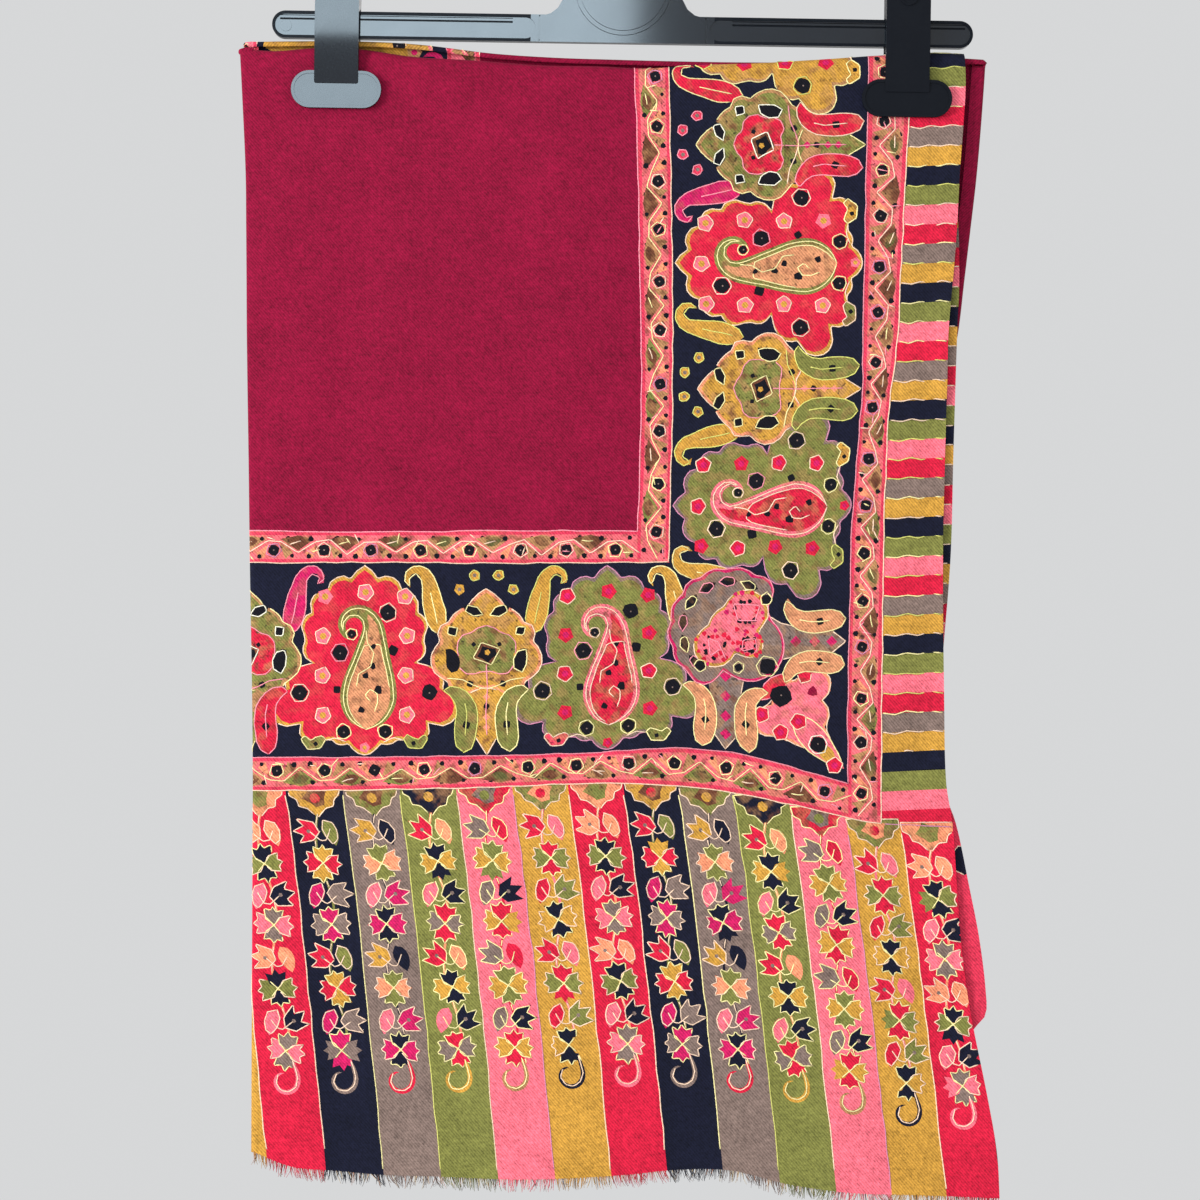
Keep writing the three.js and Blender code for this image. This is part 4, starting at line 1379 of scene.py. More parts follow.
    def corner_piece(self, draw: Motifs, upright: Band, level: Band) -> None:
        """Draws the corner: a broad head that faces the field, two stems with leaves, and a pink bloom."""
        self.bloom(draw)
        for band, middle in ((level, 51.5), (upright, 306.5)):
            at = band.at(middle)
            self.chart.bleed = 0.8
            stem = spots((-16, 48), (-9, 36), (-6, 22), (-6.5, 10), (0, 1.5))
            draw.put(at, np.vstack([stem, stem[-2::-1] * (-1, 1)]), Dye.TAUPE, Yarn.SHELL)
            for v in (9, 18, 28, 38):
                draw.put(at, polygon(4, 2.9, 0.25) + (0, v), Dye.MAGENTA)
            for side in (-1, 1):
                draw.leaf(at, (side * 11.5, 1.8), side, Dye.BUFF, Yarn.CREAM)
        self.head(np.array([54.0, 300.5]))

    def bloom(self, draw: Motifs) -> None:
        """Draws the pink bloom with its big berry, red flowers and tail."""
        self.chart.bleed = 0.5
        upper = [(87, 338, 12.5), (96, 328, 8.5), (95, 343, 8.5)]
        lower = [(73, 346, 8), (84, 348, 8.5), (92, 352, 8), (99, 358, 6)]
        bloom = bouquet((87, 341), upper + lower, 42)
        self.chart.ring(bloom, Dye.PEACH, Dye.PINK, Yarn.SHELL, 0.92, np.array([87.0, 341.0]))
        tail = Swash(36, 6.4, heading=50, curl=-8, belly=0.4, steps=10)
        self.chart.patch(tail.outline() + (86, 344), Dye.PINK, Yarn.CREAM)
        self.chart.patch(Swash(12, 3.4, heading=48, steps=6).outline() + (98, 358), Dye.OCHRE)
        self.chart.patch(Swash(20, 4.2, heading=-42, steps=8).outline() + (68, 336), Dye.RED, Yarn.BLUSH)
        self.chart.patch(polygon(7, 4.6, 0.3, 0.25) + (91, 323), Dye.RED, Yarn.SHELL)
        self.chart.patch(polygon(6, 3.0, 0.1, 0.25) + (95, 331.5), Dye.CRIMSON)
        self.chart.bleed = 0.0
        for x, drop in ((88, 346.5), (69.5, 343), (79, 352), (106, 368.5)):
            draw.rosette(as_drawn, x, drop, Dye.RED, 4.2, Yarn.SHELL)
        draw.berry(as_drawn, 79.3, 333.7, 5.8, Yarn.BLUSH)
        draw.berry(as_drawn, 97.7, 358, 4.4, Yarn.WHITE)

    def head(self, middle: Array) -> None:
        """Draws the broad scalloped head of the corner and the bushy flower in it."""
        chart, hand = self.chart, self.chart.hand
        scallops = [(*(middle + 23.6 * toward(-54 - 26 * k)), 8.0) for k in range(8)]
        fill = [(*middle, 20.5), (*(middle + (10, 9)), 17.0)]
        outline = bouquet(tuple(middle), scallops + fill, 66)
        chart.bleed = 0.45
        chart.ring(outline, Dye.MAGENTA, Dye.TAUPE, Yarn.BLUSH, 0.95, middle)
        chart.bleed = 0.3
        for k in range(7):
            heading = -54 - 26 * (k + 0.5)
            foot = middle + 24.0 * toward(heading) - 4.7 * toward(heading + 90)
            leaf = Swash(9.5, 2.6, heading=heading + 90, steps=6).outline()
            chart.patch(leaf + foot, Dye.INK, hand.choice((Yarn.CREAM, Yarn.BLUSH)))
        chart.bleed = 0.6
        tufts = ((-8.0, 8.5, 10.5), (8.0, -9.0, 11.0), (9.5, 7.5, 7.0), (0.0, 0.0, 11.5))
        rounds = [(middle[0] + x, middle[1] + drop, radius) for x, drop, radius in tufts]
        tuft = bouquet(tuple(middle), rounds, 40)
        chart.ring(tuft, Dye.OCHRE, Dye.PINK, Yarn.SHELL, 0.9, middle)
        chart.bleed = 0.0
        for x, drop, radius in tufts[:3]:
            for k in range(22):
                reach, dyes = FLECKS[k % 2]
                around = toward(33 * k + hand.uniform(-14, 14)) * radius * reach * hand.uniform(0.84, 1.12)
                spot = middle + (x, drop) + around
                chart.patch(polygon(6, hand.uniform(1.0, 1.7), hand.random(), 0.25) + spot, hand.choice(dyes))
            ways = (toward(100 * k + 40 * hand.random()) * radius * hand.uniform(0.3, 0.8) for k in range(5))
            loose = np.array(list(ways))
            chart.stitch(loose + middle + (x, drop), hand.choice((Yarn.SHELL, Yarn.BLUSH)), 0.3)
        for place, radius in (((18.5, 18.5), 4.6), ((18, -15), 2.8), ((-15, 18), 2.8), ((4, 19), 2.2)):
            ring = polygon(6, radius + 0.8, hand.random()) + middle + place
            chart.patch(polygon(8, radius, hand.random(), 0.15) + middle + place, Dye.INK)
            chart.stitch(closed(ring), Yarn.CREAM, 0.3)

    def vines(self) -> None:
        """Draws the pendant and the vine on each stripe of the end."""
        for number in range(-1, 12):
            dye = END_ORDER[number % 6]
            EndVine(self.chart, number, dye, VINES[dye], self.level["outer"]).draw()
        drop = np.linspace(383, 590, 22)
        for number in range(-1, 12):
            edge = columns(end_stripe_x(number, drop), drop)
            start = float(self.level["outer"](edge[0, 0]))
            edge = edge[(edge[:, 1] > start) & (edge[:, 1] < HEM(edge[:, 0]) - 1)]
            if len(edge) > 2:
                yarn = (Yarn.SHELL, Yarn.CREAM, Yarn.LIME, Yarn.SHELL, Yarn.MAUVE, Yarn.SHELL)[number % 6]
                self.chart.stitch(edge, yarn, 0.4)

    def draw(self) -> Chart:
        """Prints and stitches all of the front and returns its chart."""
        self.ground()
        self.guards()
        self.motifs()
        self.border_stitches()
        return self.chart


@dataclass
class EndVine:
    """The pendant and vine of one stripe of the end."""

    chart: Chart
    number: int
    ground: Dye
    look: Vine
    top: Line
    flowers: tuple[float, ...] = (36.5, 67.0, 99.0, 130.0)
    twigs: tuple[float, ...] = (20.5, 52.0, 83.5, 115.0)

    def at(self, u: Array, v: Array) -> tuple[Array, Array]:
        """Takes places across the stripe's middle and down it to the chart."""
        u, v = np.asarray(u, float), np.asarray(v, float)
        middle = end_stripe_x(self.number + 0.5, np.array(390.0))
        drop = float(self.top(middle)) + v
        return end_stripe_x(self.number + 0.5, drop) + u, drop

    def put(self, outline: Array, dye: Dye, yarn: Yarn | None = None) -> None:
        """Prints an outline given about the stripe's middle."""
        self.chart.patch(placed(self.at, outline), dye, yarn, 0.35)

    def sew(self, line: Array, yarn: Yarn, wobble: float) -> None:
        """Stitches a line given about the stripe's middle."""
        self.chart.stitch(placed(self.at, line), yarn, wobble)

    def draw(self) -> None:
        """Draws the pendant, the stem, the flowers, the twigs and the tail."""
        look, chart = self.look, self.chart
        half = spots((-13.2, -2), (-12.4, 2.6), (-9.4, 4.4), (-8.6, 7.8), (-4.6, 8.8), (0, 13.6))
        chart.bleed = 0.7
        self.put(np.vstack([half, half[-2::-1] * (-1, 1)]), look.pendant, look.yarn)
        inner = polygon(9, 5.2, 0.25, 0.3) * (1.3, 1) + (0, 3.2)
        self.put(inner, look.calyx)
        self.put(polygon(8, 2.6) + (0, 4.0), look.pip)
        chart.bleed = 0.0
        sway = np.linspace(12, 131, 30)
        stem = columns(-2.6 * np.sin((sway - 12) / 10.0), sway)
        self.put(np.vstack([stem - (0.6, 0), stem[::-1] + (0.6, 0)]), look.leaf)
        self.sew(stem, look.yarn, 0.3)
        for k, v in enumerate(self.twigs):
            turn = 1 if k % 2 else -1
            self.tulip(turn * 5.6, v, turn, look.bud if k % 2 else look.tulip)
            self.twig_leaf(-turn * 5.0, v, -turn, look.second_leaf if k % 2 else look.leaf)
            twig = spots((turn * 5.0, v + 0.5), (0, v + 4.6), (-turn * 3.0, v + 4.0), (-turn * 5.4, v - 1.0))
            self.sew(twig, look.yarn, 0.4)
        for k, v in enumerate(self.flowers):
            self.flower(v, look.second if k % 2 else look.first)
        self.tail()

    def petal(self, angle: float) -> Array:
        """Draws one broad, notched petal that points at an angle."""
        reach = self.chart.hand.uniform(1.04, 1.2)
        left, tip = ((0, 0.3), (-3.6, 2.6), (-4.6, 7.4), (-1.5, 6.4)), (0.2, 8.8)
        return turned(spots(*left, tip, (1.7, 6.3), (4.7, 7.2), (3.4, 2.4)) * reach, angle)

    def flower(self, v: float, dyes: tuple[Dye, Dye]) -> None:
        """Draws a flower of four notched petals in two colours."""
        hand = self.chart.hand
        tilt = hand.uniform(-0.22, 0.22)
        across = hand.uniform(-0.8, 0.8)
        for k in range(4):
            petal = self.petal(tilt + k * math.pi / 2) + (across, v)
            yarn = self.chart.maybe(self.look.yarn if k % 2 else Yarn.CREAM, 0.9)
            self.put(petal, dyes[k % 2], yarn)
        self.put(polygon(5, 0.9) + (across, v), Dye.OCHRE)
        for k in (1, 3):
            way = toward(math.degrees(tilt) + 45 * k) * 5.2
            self.sew(np.array([-way, way * 0.0, way]) + (across, v), Yarn.CREAM, 0.4)

    def tulip(self, u: float, v: float, turn: int, dye: Dye) -> None:
        """Draws a three-pointed bud that leans outwards and up."""
        left, tip = ((0, -5.6), (-4.8, -2.8), (-6.2, 5.4), (-2.4, 2.6)), (0, 7.8)
        cup = spots(*left, tip, (2.4, 2.4), (6.2, 5.0), (4.6, -2.6))
        lean = math.radians(-turn * 108 + self.chart.hand.uniform(-20, 20))
        self.put(turned(cup, lean) + (u, v), dye, self.chart.maybe(self.look.yarn, 0.95))
        self.put(polygon(5, 1.1) + (u, v), Dye.TAUPE)

    def twig_leaf(self, u: float, v: float, turn: int, dye: Dye) -> None:
        """Draws a small pointed leaf opposite a bud."""
        shape = Swash(13.8, 3.8, heading=90 - turn * 30, curl=turn * 20, belly=0.42, blunt=0.75, steps=6)
        self.put(shape.outline() + (u - turn * 2.6, v - 5.6), dye, self.chart.maybe(self.look.yarn, 0.88))

    def tail(self) -> None:
        """Draws the curl at the vine's end."""
        shape = Swash(35, 1.25, heading=76, curl=290, curl_from=0.16, belly=0.4, blunt=0.5, steps=22)
        foot = np.array([3.2, 135.0])
        self.put(shape.outline() + foot, self.look.tail)
        spine, *_ = shape.spine()
        self.sew(spine[:-1:2] + foot, self.look.yarn, 0.25)


@dataclass
class BackPrint:
    """The print on the back: its side border lies at the left fold, and the rest is plain."""

    chart: Chart = field(default_factory=lambda: Chart(hand=random.Random(97)))
    outer: float = -183.4
    band: float = -88.0
    inner: float = -71.6
    top: float = -14.0
    foot: float = 575.0
    slant: float = 0.006

    def edge(self, x: float) -> Line:
        """Gives the line of a border's edge that starts at an x."""
        return lambda drop: x + self.slant * np.asarray(drop, float)

    def draw(self) -> Chart:
        """Prints and stitches the back and returns its chart."""
        chart = self.chart
        for right, dye in ((self.inner, Dye.PINK), (self.band, Dye.NAVY), (self.outer, Dye.PINK)):
            area = spots((-215, self.top), (right, self.top), (right, self.foot), (-215, self.foot))
            chart.patch(area, dye)
        guard = GuardBorder(chart)
        guard.draw(Band(self.edge(self.inner), self.edge(self.band), True), self.top, self.foot)
        guard.draw(Band(self.edge(self.outer - 15.5), self.edge(self.outer), True), self.top, self.foot)
        band = Band(self.edge(self.outer), self.edge(self.band), True)
        draw = Motifs(chart)
        for number in range(0, 10, 2):
            at = band.at(-10.0 + MOTIF_PITCH * number)
            look = RED_CARTOUCHE if number % 4 == 0 else OLIVE_CARTOUCHE
            draw.cartouche(at, TOP_CARTOUCHE if number == 0 else look)
            draw.between(at, Dye.OCHRE, (Dye.OCHRE, Dye.MAGENTA), True)
        chart.bleed = 0.5
        chart.patch(spots((-182, -14), (-112, -14), (-116, 6), (-124, 13), (-170, 15), (-179, 8)), Dye.OCHRE)
        chart.patch(spots((-160, -14), (-148, -14), (-132, 4), (-139, 6)), Dye.PINK, Yarn.SHELL)
        chart.bleed = 0.0
        for number in range(1, 10, 2):
            look = OCHRE_PALMETTE if number % 4 == 1 else OLIVE_PALMETTE
            draw.palmette(band.at(-10.0 + MOTIF_PITCH * number), look)
        run = np.linspace(self.top, self.foot, 60)
        for x, yarn in ((self.outer, Yarn.SHELL), (self.band, Yarn.BLUSH), (self.inner, Yarn.SHELL)):
            chart.stitch(columns(self.edge(x)(run), run), yarn, 0.35, 0.85)
        return chart


@dataclass
class UnderPrint:
    """The print on the layer under the front, as far as it shows: side stripes above, end stripes below."""

    chart: Chart = field(default_factory=lambda: Chart(hand=random.Random(12)))

    def draw(self) -> Chart:
        """Prints the under layer and returns its chart."""
        order = (Dye.OCHRE, Dye.TAUPE, Dye.RED, Dye.PINK, Dye.OLIVE, Dye.NAVY)
        for number in range(-2, 28):
            top = 110.0 + 9.9 * (number - 2)
            area = spots((132, top), (205, top - 1.5), (205, top + 8.4), (132, top + 9.9))
            self.chart.patch(area, order[number % 6])
            edge = spots((155, top - 0.4), (162, top - 0.9), (176, top - 1.2))
            self.chart.stitch(edge, Yarn.SHELL, 0.3)
        drop = np.linspace(384, 600, 16)
        for number in range(-2, 12):
            self.chart.patch(end_stripe(number - 0.35, drop), END_ORDER[number % 6])
        lobe = spots((150, 386), (215, 386), (215, 520), (172, 520), (150, 450))
        self.chart.patch(lobe, Dye.SCARLET)
        self.chart.patch(polygon(7, 7.5) + (171, 416), Dye.NAVY, Yarn.SHELL)
        return self.chart


# ---- meshes


def clear_selection() -> None:
    """Deselects everything, the frame's own nodes too."""
    bpy.ops.object.select_all(action="DESELECT")


def select_only(piece: Piece) -> None:
    """Selects a piece and nothing else."""
    clear_selection()
    bpy.context.view_layer.objects.active = piece
    piece.select_set(True)


def make_mesh(name: str, points: Array, faces: Array) -> Piece:
    """Makes an object from points and faces.

    Args:
        name: the piece's name.
        points: its corners, in metres.
        faces: corner numbers, three or four to a face.

    Returns:
        The new object, smooth shaded.
    """
    mesh = bpy.data.meshes.new(name)
    sides = faces.shape[1]
    mesh.vertices.add(len(points))
    mesh.vertices.foreach_set("co", points.astype(np.float32).ravel())
    mesh.loops.add(faces.size)
    mesh.loops.foreach_set("vertex_index", faces.astype(np.int32).ravel())
    mesh.polygons.add(len(faces))
    mesh.polygons.foreach_set("loop_start", np.arange(0, faces.size, sides, dtype=np.int32))
    mesh.polygons.foreach_set("use_smooth", np.ones(len(faces), bool))
    mesh.update(calc_edges=True)
    mesh.validate()
    piece = bpy.data.objects.new(name, mesh)
    bpy.context.scene.collection.objects.link(piece)
    return piece


def colour_faces(piece: Piece, colours: Array, name: str = "Dye") -> None:
    """Gives each face a colour, kept at its corners.

    Args:
        piece: the object.
        colours: one linear colour for each face.
        name: the attribute's name.
    """
    mesh = piece.data
    attribute = mesh.color_attributes.new(name, "FLOAT_COLOR", "CORNER")
    counts = np.zeros(len(mesh.polygons), np.int32)
    mesh.polygons.foreach_get("loop_total", counts)
    attribute.data.foreach_set("color", np.repeat(colours, counts, axis=0).astype(np.float32).ravel())


def chart_uv(piece: Piece, flat: Array) -> None:
    """Gives a piece a UV map with its places on the chart, in metres."""
    mesh = piece.data
    layer = mesh.uv_layers.new(name="Chart")
    corners = np.zeros(len(mesh.loops), np.int32)
    mesh.loops.foreach_get("vertex_index", corners)
    layer.data.foreach_set("uv", (flat[corners] * MM).astype(np.float32).ravel())


def apply_modifier(piece: Piece, kind: str, **settings: object) -> None:
    """Adds a modifier to a piece and applies it.

    Args:
        piece: the object.
        kind: the modifier's type.
        **settings: its settings.
    """
    modifier = piece.modifiers.new(kind.lower(), kind)
    for key, value in settings.items():
        setattr(modifier, key, value)
    select_only(piece)
    bpy.ops.object.modifier_apply(modifier=modifier.name)
    piece.select_set(False)


def smooth_by_angle(piece: Piece, degrees: float) -> None:
    """Shades a piece smooth but for edges sharper than an angle."""
    select_only(piece)
    bpy.ops.object.shade_smooth_by_angle(angle=math.radians(degrees))
    piece.select_set(False)


def walk(line: Array, pitch: float) -> tuple[Array, Array]:
    """Spaces points evenly along a line.

    Args:
        line: its corners.
        pitch: the spacing wanted.

    Returns:
        The points, and how far along each one is.
    """
    reach = np.concatenate([[0], np.cumsum(np.hypot(*np.diff(line, axis=0).T))])
    stations = np.linspace(0, reach[-1], max(int(reach[-1] / pitch), 2) + 1)
    return np.stack([np.interp(stations, reach, line[:, k]) for k in (0, 1)], axis=1), stations


@dataclass(frozen=True)
class Embroidery:
    """Raised, rounded rows of stitches. Sizes in millimetres."""

    pitch: float = 1.5
    height: float = 0.42
    stitch: float = 3.6
    thin: float = 0.58

    def build(self, name: str, chart: Chart, drape: Drape, border: Array) -> Piece:
        """Makes all the embroidery of a chart as one mesh on the cloth.

        Args:
            name: the piece's name.
            chart: its stitches.
            drape: how the cloth lies.
            border: the cloth's edge, past which nothing is stitched.

        Returns:
            The new object, with the yarns' colours.
        """
        walked = [walk(row.line, self.pitch) for row in chart.stitches]
        points = np.vstack([line for line, _ in walked])
        order = np.repeat([row.printed for row in chart.stitches], [len(line) for line, _ in walked])
        kept = inside(points, border)
        for number, patch in enumerate(chart.patches):
            kept &= ~((order <= number) & inside(points, patch.outline))
        rings, faces, colours = [], [], []
        count = start = 0
        for row, (line, stations) in zip(chart.stitches, walked):
            mask = kept[start : start + len(line)]
            start += len(line)
            for run in np.split(np.arange(len(line)), np.nonzero(np.diff(mask.astype(int)))[0] + 1):
                if len(run) < 3 or not mask[run[0]]:
                    continue
                rings.append(self.ridge(line[run], stations[run], row.width, drape))
                body = count + 3 * np.arange(len(run) - 1)[:, None]
                last = count + 3 * (len(run) - 1)
                sides = [body + np.array([[a, b, b + 3, a + 3]]) for a, b in ((0, 1), (1, 2), (2, 0))]
                ends = np.array([[count, count + 2, count + 1, count], [last, last + 1, last + 2, last]])
                faces.append(np.vstack([*sides, ends]))
                shade = chart.hand.uniform(0.84, 1.06)
                colour = np.array(linear(row.yarn.value)) * (shade, shade, shade, 1)
                colours.append(np.tile(colour, (len(faces[-1]), 1)))
                count += 3 * len(run)
        return joined_threads(name, np.vstack(rings), np.vstack(faces), np.vstack(colours), drape.facing)

    def ridge(self, path: Array, stations: Array, width: float, drape: Drape) -> Array:
        """Raises one row of stitches, thinner between one stitch and the next.

        Args:
            path: places along the row.
            stations: how far along the row each one is.
            width: the yarn's width.
            drape: how the cloth lies.

        Returns:
            The left edge, the crest and the right edge at each place, in turn.
        """
        way = np.gradient(path, axis=0)
        way /= np.maximum(np.hypot(*way.T), 1e-6)[:, None]
        aside = columns(-way[:, 1], way[:, 0])
        pulse = self.thin + (1 - self.thin) * np.abs(np.sin(math.pi * stations / self.stitch))
        half = (width / 2 * pulse)[:, None]
        ends = np.ones(len(path))
        ends[[0, -1]] = 0.3
        left, right = path + aside * half, path - aside * half
        crest = drape.place(path[:, 0], path[:, 1], self.height * pulse * ends)
        edges = [drape.place(edge[:, 0], edge[:, 1], -0.05) for edge in (left, right)]
        return columns(edges[0], crest, edges[1]).reshape(-1, 3)


def joined_threads(name: str, points: Array, faces: Array, colours: Array, facing: int) -> Piece:
    """Makes one object of many thin prisms, cutting each side into two triangles.

    Args:
        name: the piece's name.
        points: the prisms' corners.
        faces: four corner numbers to a face, the last two alike at a prism's end.
        colours: one linear colour for each face.
        facing: 1 where the faces have to be turned over.

    Returns:
        The new object.
    """
    triangles = columns(faces[:, [0, 1, 2]], faces[:, [0, 2, 3]]).reshape(-1, 3)
    real = (triangles != np.roll(triangles, 1, axis=1)).all(1)
    triangles = triangles[real][:, :: -1 if facing > 0 else 1]
    piece = make_mesh(name, points, triangles)
    colour_faces(piece, np.repeat(colours, 2, axis=0)[real])
    return piece


# ---- shader nodes


class Signal:
    """A number socket that can be used in Python sums: each operation adds a Math node."""

    def __init__(self, nodes: "Nodes", socket: bpy.types.NodeSocket) -> None:
        """Keeps the socket and the tree it is in."""
        self.nodes = nodes
        self.socket = socket

    def _math(self, operation: str, first: object, second: object = 0.0) -> "Signal":
        """Adds one Math node."""
        return self.nodes.add("ShaderNodeMath", {"operation": operation}, {0: first, 1: second})

    def __add__(self, other: object) -> "Signal":
        """Adds."""
        return self._math("ADD", self, other)

    __radd__ = __add__

    def __sub__(self, other: object) -> "Signal":
        """Subtracts."""
        return self._math("SUBTRACT", self, other)

    def __rsub__(self, other: object) -> "Signal":
        """Subtracts from a number."""
        return self._math("SUBTRACT", other, self)

    def __mul__(self, other: object) -> "Signal":
        """Multiplies."""
        return self._math("MULTIPLY", self, other)

    __rmul__ = __mul__

    def sine(self) -> "Signal":
        """Takes the sine."""
        return self._math("SINE", self)

    def beside(self, name: str) -> "Signal":
        """Takes another output of the same node."""
        return Signal(self.nodes, self.socket.node.outputs[name])


class Nodes:
    """One material's tree of nodes."""

    def __init__(self, name: str) -> None:
        """Makes an empty material with its output."""
        self.material = bpy.data.materials.new(name)
        self.material.use_nodes = True
        self.tree = self.material.node_tree
        self.tree.nodes.clear()

    def add(self, kind: str, settings: dict, inputs: dict, out: int | str = 0) -> Signal:
        """Adds a node.

        Args:
            kind: the node's type.
            settings: its properties, set first.
            inputs: values or signals for its sockets, by name or number.
            out: the output wanted.

        Returns:
            The output as a signal.
        """
        node = self.tree.nodes.new(kind)
        for key, value in settings.items():
            setattr(node, key, value)
        for key, value in inputs.items():
            if isinstance(value, Signal):
                self.tree.links.new(value.socket, node.inputs[key])
            else:
                node.inputs[key].default_value = value
        return Signal(self, node.outputs[out])

    def mix(self, factor: object, first: object, second: object, blend: str = "MIX") -> Signal:
        """Mixes two colours."""
        settings = {"data_type": "RGBA", "blend_type": blend}
        return self.add("ShaderNodeMix", settings, {0: factor, 6: first, 7: second}, 2)

    def noise(self, place: Signal, scale: float, detail: float = 2.0, rough: float = 0.5) -> Signal:
        """Adds soft noise at a scale in turns for each metre."""
        inputs = {"Vector": place, "Scale": scale, "Detail": detail, "Roughness": rough}
        return self.add("ShaderNodeTexNoise", {}, inputs)

    def ramp(self, value: Signal, low: float, high: float) -> Signal:
        """Goes smoothly from 0 at low to 1 at high."""
        settings = {"interpolation_type": "SMOOTHSTEP"}
        return self.add("ShaderNodeMapRange", settings, {"Value": value, "From Min": low, "From Max": high})

    def place(self) -> Signal:
        """Reads places on the piece, in metres."""
        return self.add("ShaderNodeTexCoord", {}, {}, "Object")

    def attribute(self, name: str, out: str = "Color") -> Signal:
        """Reads an attribute of the mesh."""
        return self.add("ShaderNodeAttribute", {"attribute_name": name}, {}, out)

    def shaded(self, colour: Signal, shade: Signal) -> Signal:
        """Makes a colour lighter or darker."""
        grey = self.add("ShaderNodeCombineColor", {}, {0: shade, 1: shade, 2: shade})
        return self.mix(1.0, colour, grey, "MULTIPLY")

    def bump(self, height: Signal, strength: float, distance: float) -> Signal:
        """Adds relief that only the light sees."""
        return self.add("ShaderNodeBump", {}, {"Strength": strength, "Distance": distance, "Height": height})

    def surface(self, inputs: dict) -> Material:
        """Adds the surface shader with its inputs, links it to the output, and gives the material."""
        shader = self.add("ShaderNodeBsdfPrincipled", {}, inputs)
        node = self.tree.nodes.new("ShaderNodeOutputMaterial")
        self.tree.links.new(shader.socket, node.inputs["Surface"])
        return self.material


@dataclass(frozen=True)
class TwillFinish:
    """Fine wool twill with a soft nap, coloured by the print.

    Attributes:
        name: the material's name.
        rib: distance between the diagonal ribs, in metres.
        warp: distance between two warp threads and the next two, in metres.
        weft: the same for the weft.
        depth: how dark the painted shade in the grooves between the ribs is, from 0 to 1.
        tint: what all its colours are multiplied by.
    """

    name: str
    rib: float = 0.0019
    warp: float = 0.00052
    weft: float = 0.00058
    depth: float = 0.36
    tint: tuple[float, float, float, float] = (1, 1, 1, 1)

    def build(self) -> Material:
        """Builds the material."""
        nodes = Nodes(self.name)
        chart = nodes.add("ShaderNodeUVMap", {"uv_map": "Chart"}, {}, "UV")
        x = nodes.add("ShaderNodeSeparateXYZ", {}, {0: chart}, "X")
        drop = x.beside("Y")
        stray = nodes.noise(chart, 420.0)
        phase = (x * 1.15 - drop) * (2 * math.pi / self.rib) + stray * 1.9
        rib = phase.sine() * 0.5 + 0.5
        yarns = (x * (2 * math.pi / self.warp)).sine() * (drop * (2 * math.pi / self.weft)).sine()
        slub = nodes.noise(chart, 780.0, 4.0, 0.75)
        cloudy = nodes.noise(chart, 34.0, 3.0, 0.55)
        blotch = nodes.noise(chart, 140.0)
        stain = nodes.noise(chart, 210.0, 3.0)
        smudge = nodes.noise(chart, 330.0, 2.0, 0.6)
        uneven = nodes.noise(chart, 120.0)
        dye = nodes.attribute("Dye")
        bleed = dye.beside("Alpha")
        tinted = nodes.mix(1.0, dye, self.tint, "MULTIPLY")
        rosy = nodes.mix(nodes.ramp(blotch, 0.47, 0.64) * bleed * 0.6, tinted, linear(Dye.TAN.value))
        brown = nodes.mix(nodes.ramp(stain, 0.5, 0.7) * bleed * 0.9, rosy, linear(Dye.UMBER.value))
        inked = nodes.mix(nodes.ramp(smudge, 0.59, 0.7) * bleed * 0.8, brown, linear(Dye.INK.value))
        down = nodes.add("ShaderNodeCombineXYZ", {}, {0: x, 1: drop * 0.16})
        across = nodes.add("ShaderNodeCombineXYZ", {}, {0: x * 0.16, 1: drop})
        threads = nodes.noise(down, 760.0, 2.0, 0.6) + nodes.noise(across, 760.0, 2.0, 0.6) - 1.0
        fleck = slub * 1.15 + stray * 0.8 - 0.975
        # self.depth * rib paints shade into the grooves between the twill's ribs, on top of the bump's
        # relief.
        shade = 1.11 - self.depth * rib + fleck + threads * 0.4 + (cloudy - 0.5) * 0.42 + (uneven - 0.5) * 0.4
        return nodes.surface({
            "Base Color": nodes.shaded(inked, shade),
            "Roughness": 0.82,
            "Normal": nodes.bump(rib * 0.7 + yarns * 0.12 + slub * 0.5, 0.35, 0.0004),
            "Specular IOR Level": 0.12,
            "Sheen Weight": 0.03,
            "Sheen Roughness": 0.4,
        })


@dataclass(frozen=True)
class YarnFinish:
    """Mercerised embroidery yarn: a slight gloss and the lie of its twist."""

    name: str
    roughness: float = 0.55

    def build(self) -> Material:
        """Builds the material."""
        nodes = Nodes(self.name)
        place = nodes.place()
        twist = nodes.noise(place, 1900.0)
        shade = 0.7 + twist * 0.24 + nodes.noise(place, 160.0) * 0.22
        return nodes.surface({
            "Base Color": nodes.shaded(nodes.attribute("Dye"), shade),
            "Roughness": self.roughness,
            "Normal": nodes.bump(twist, 0.3, 0.0003),
            "Sheen Weight": 0.05,
        })


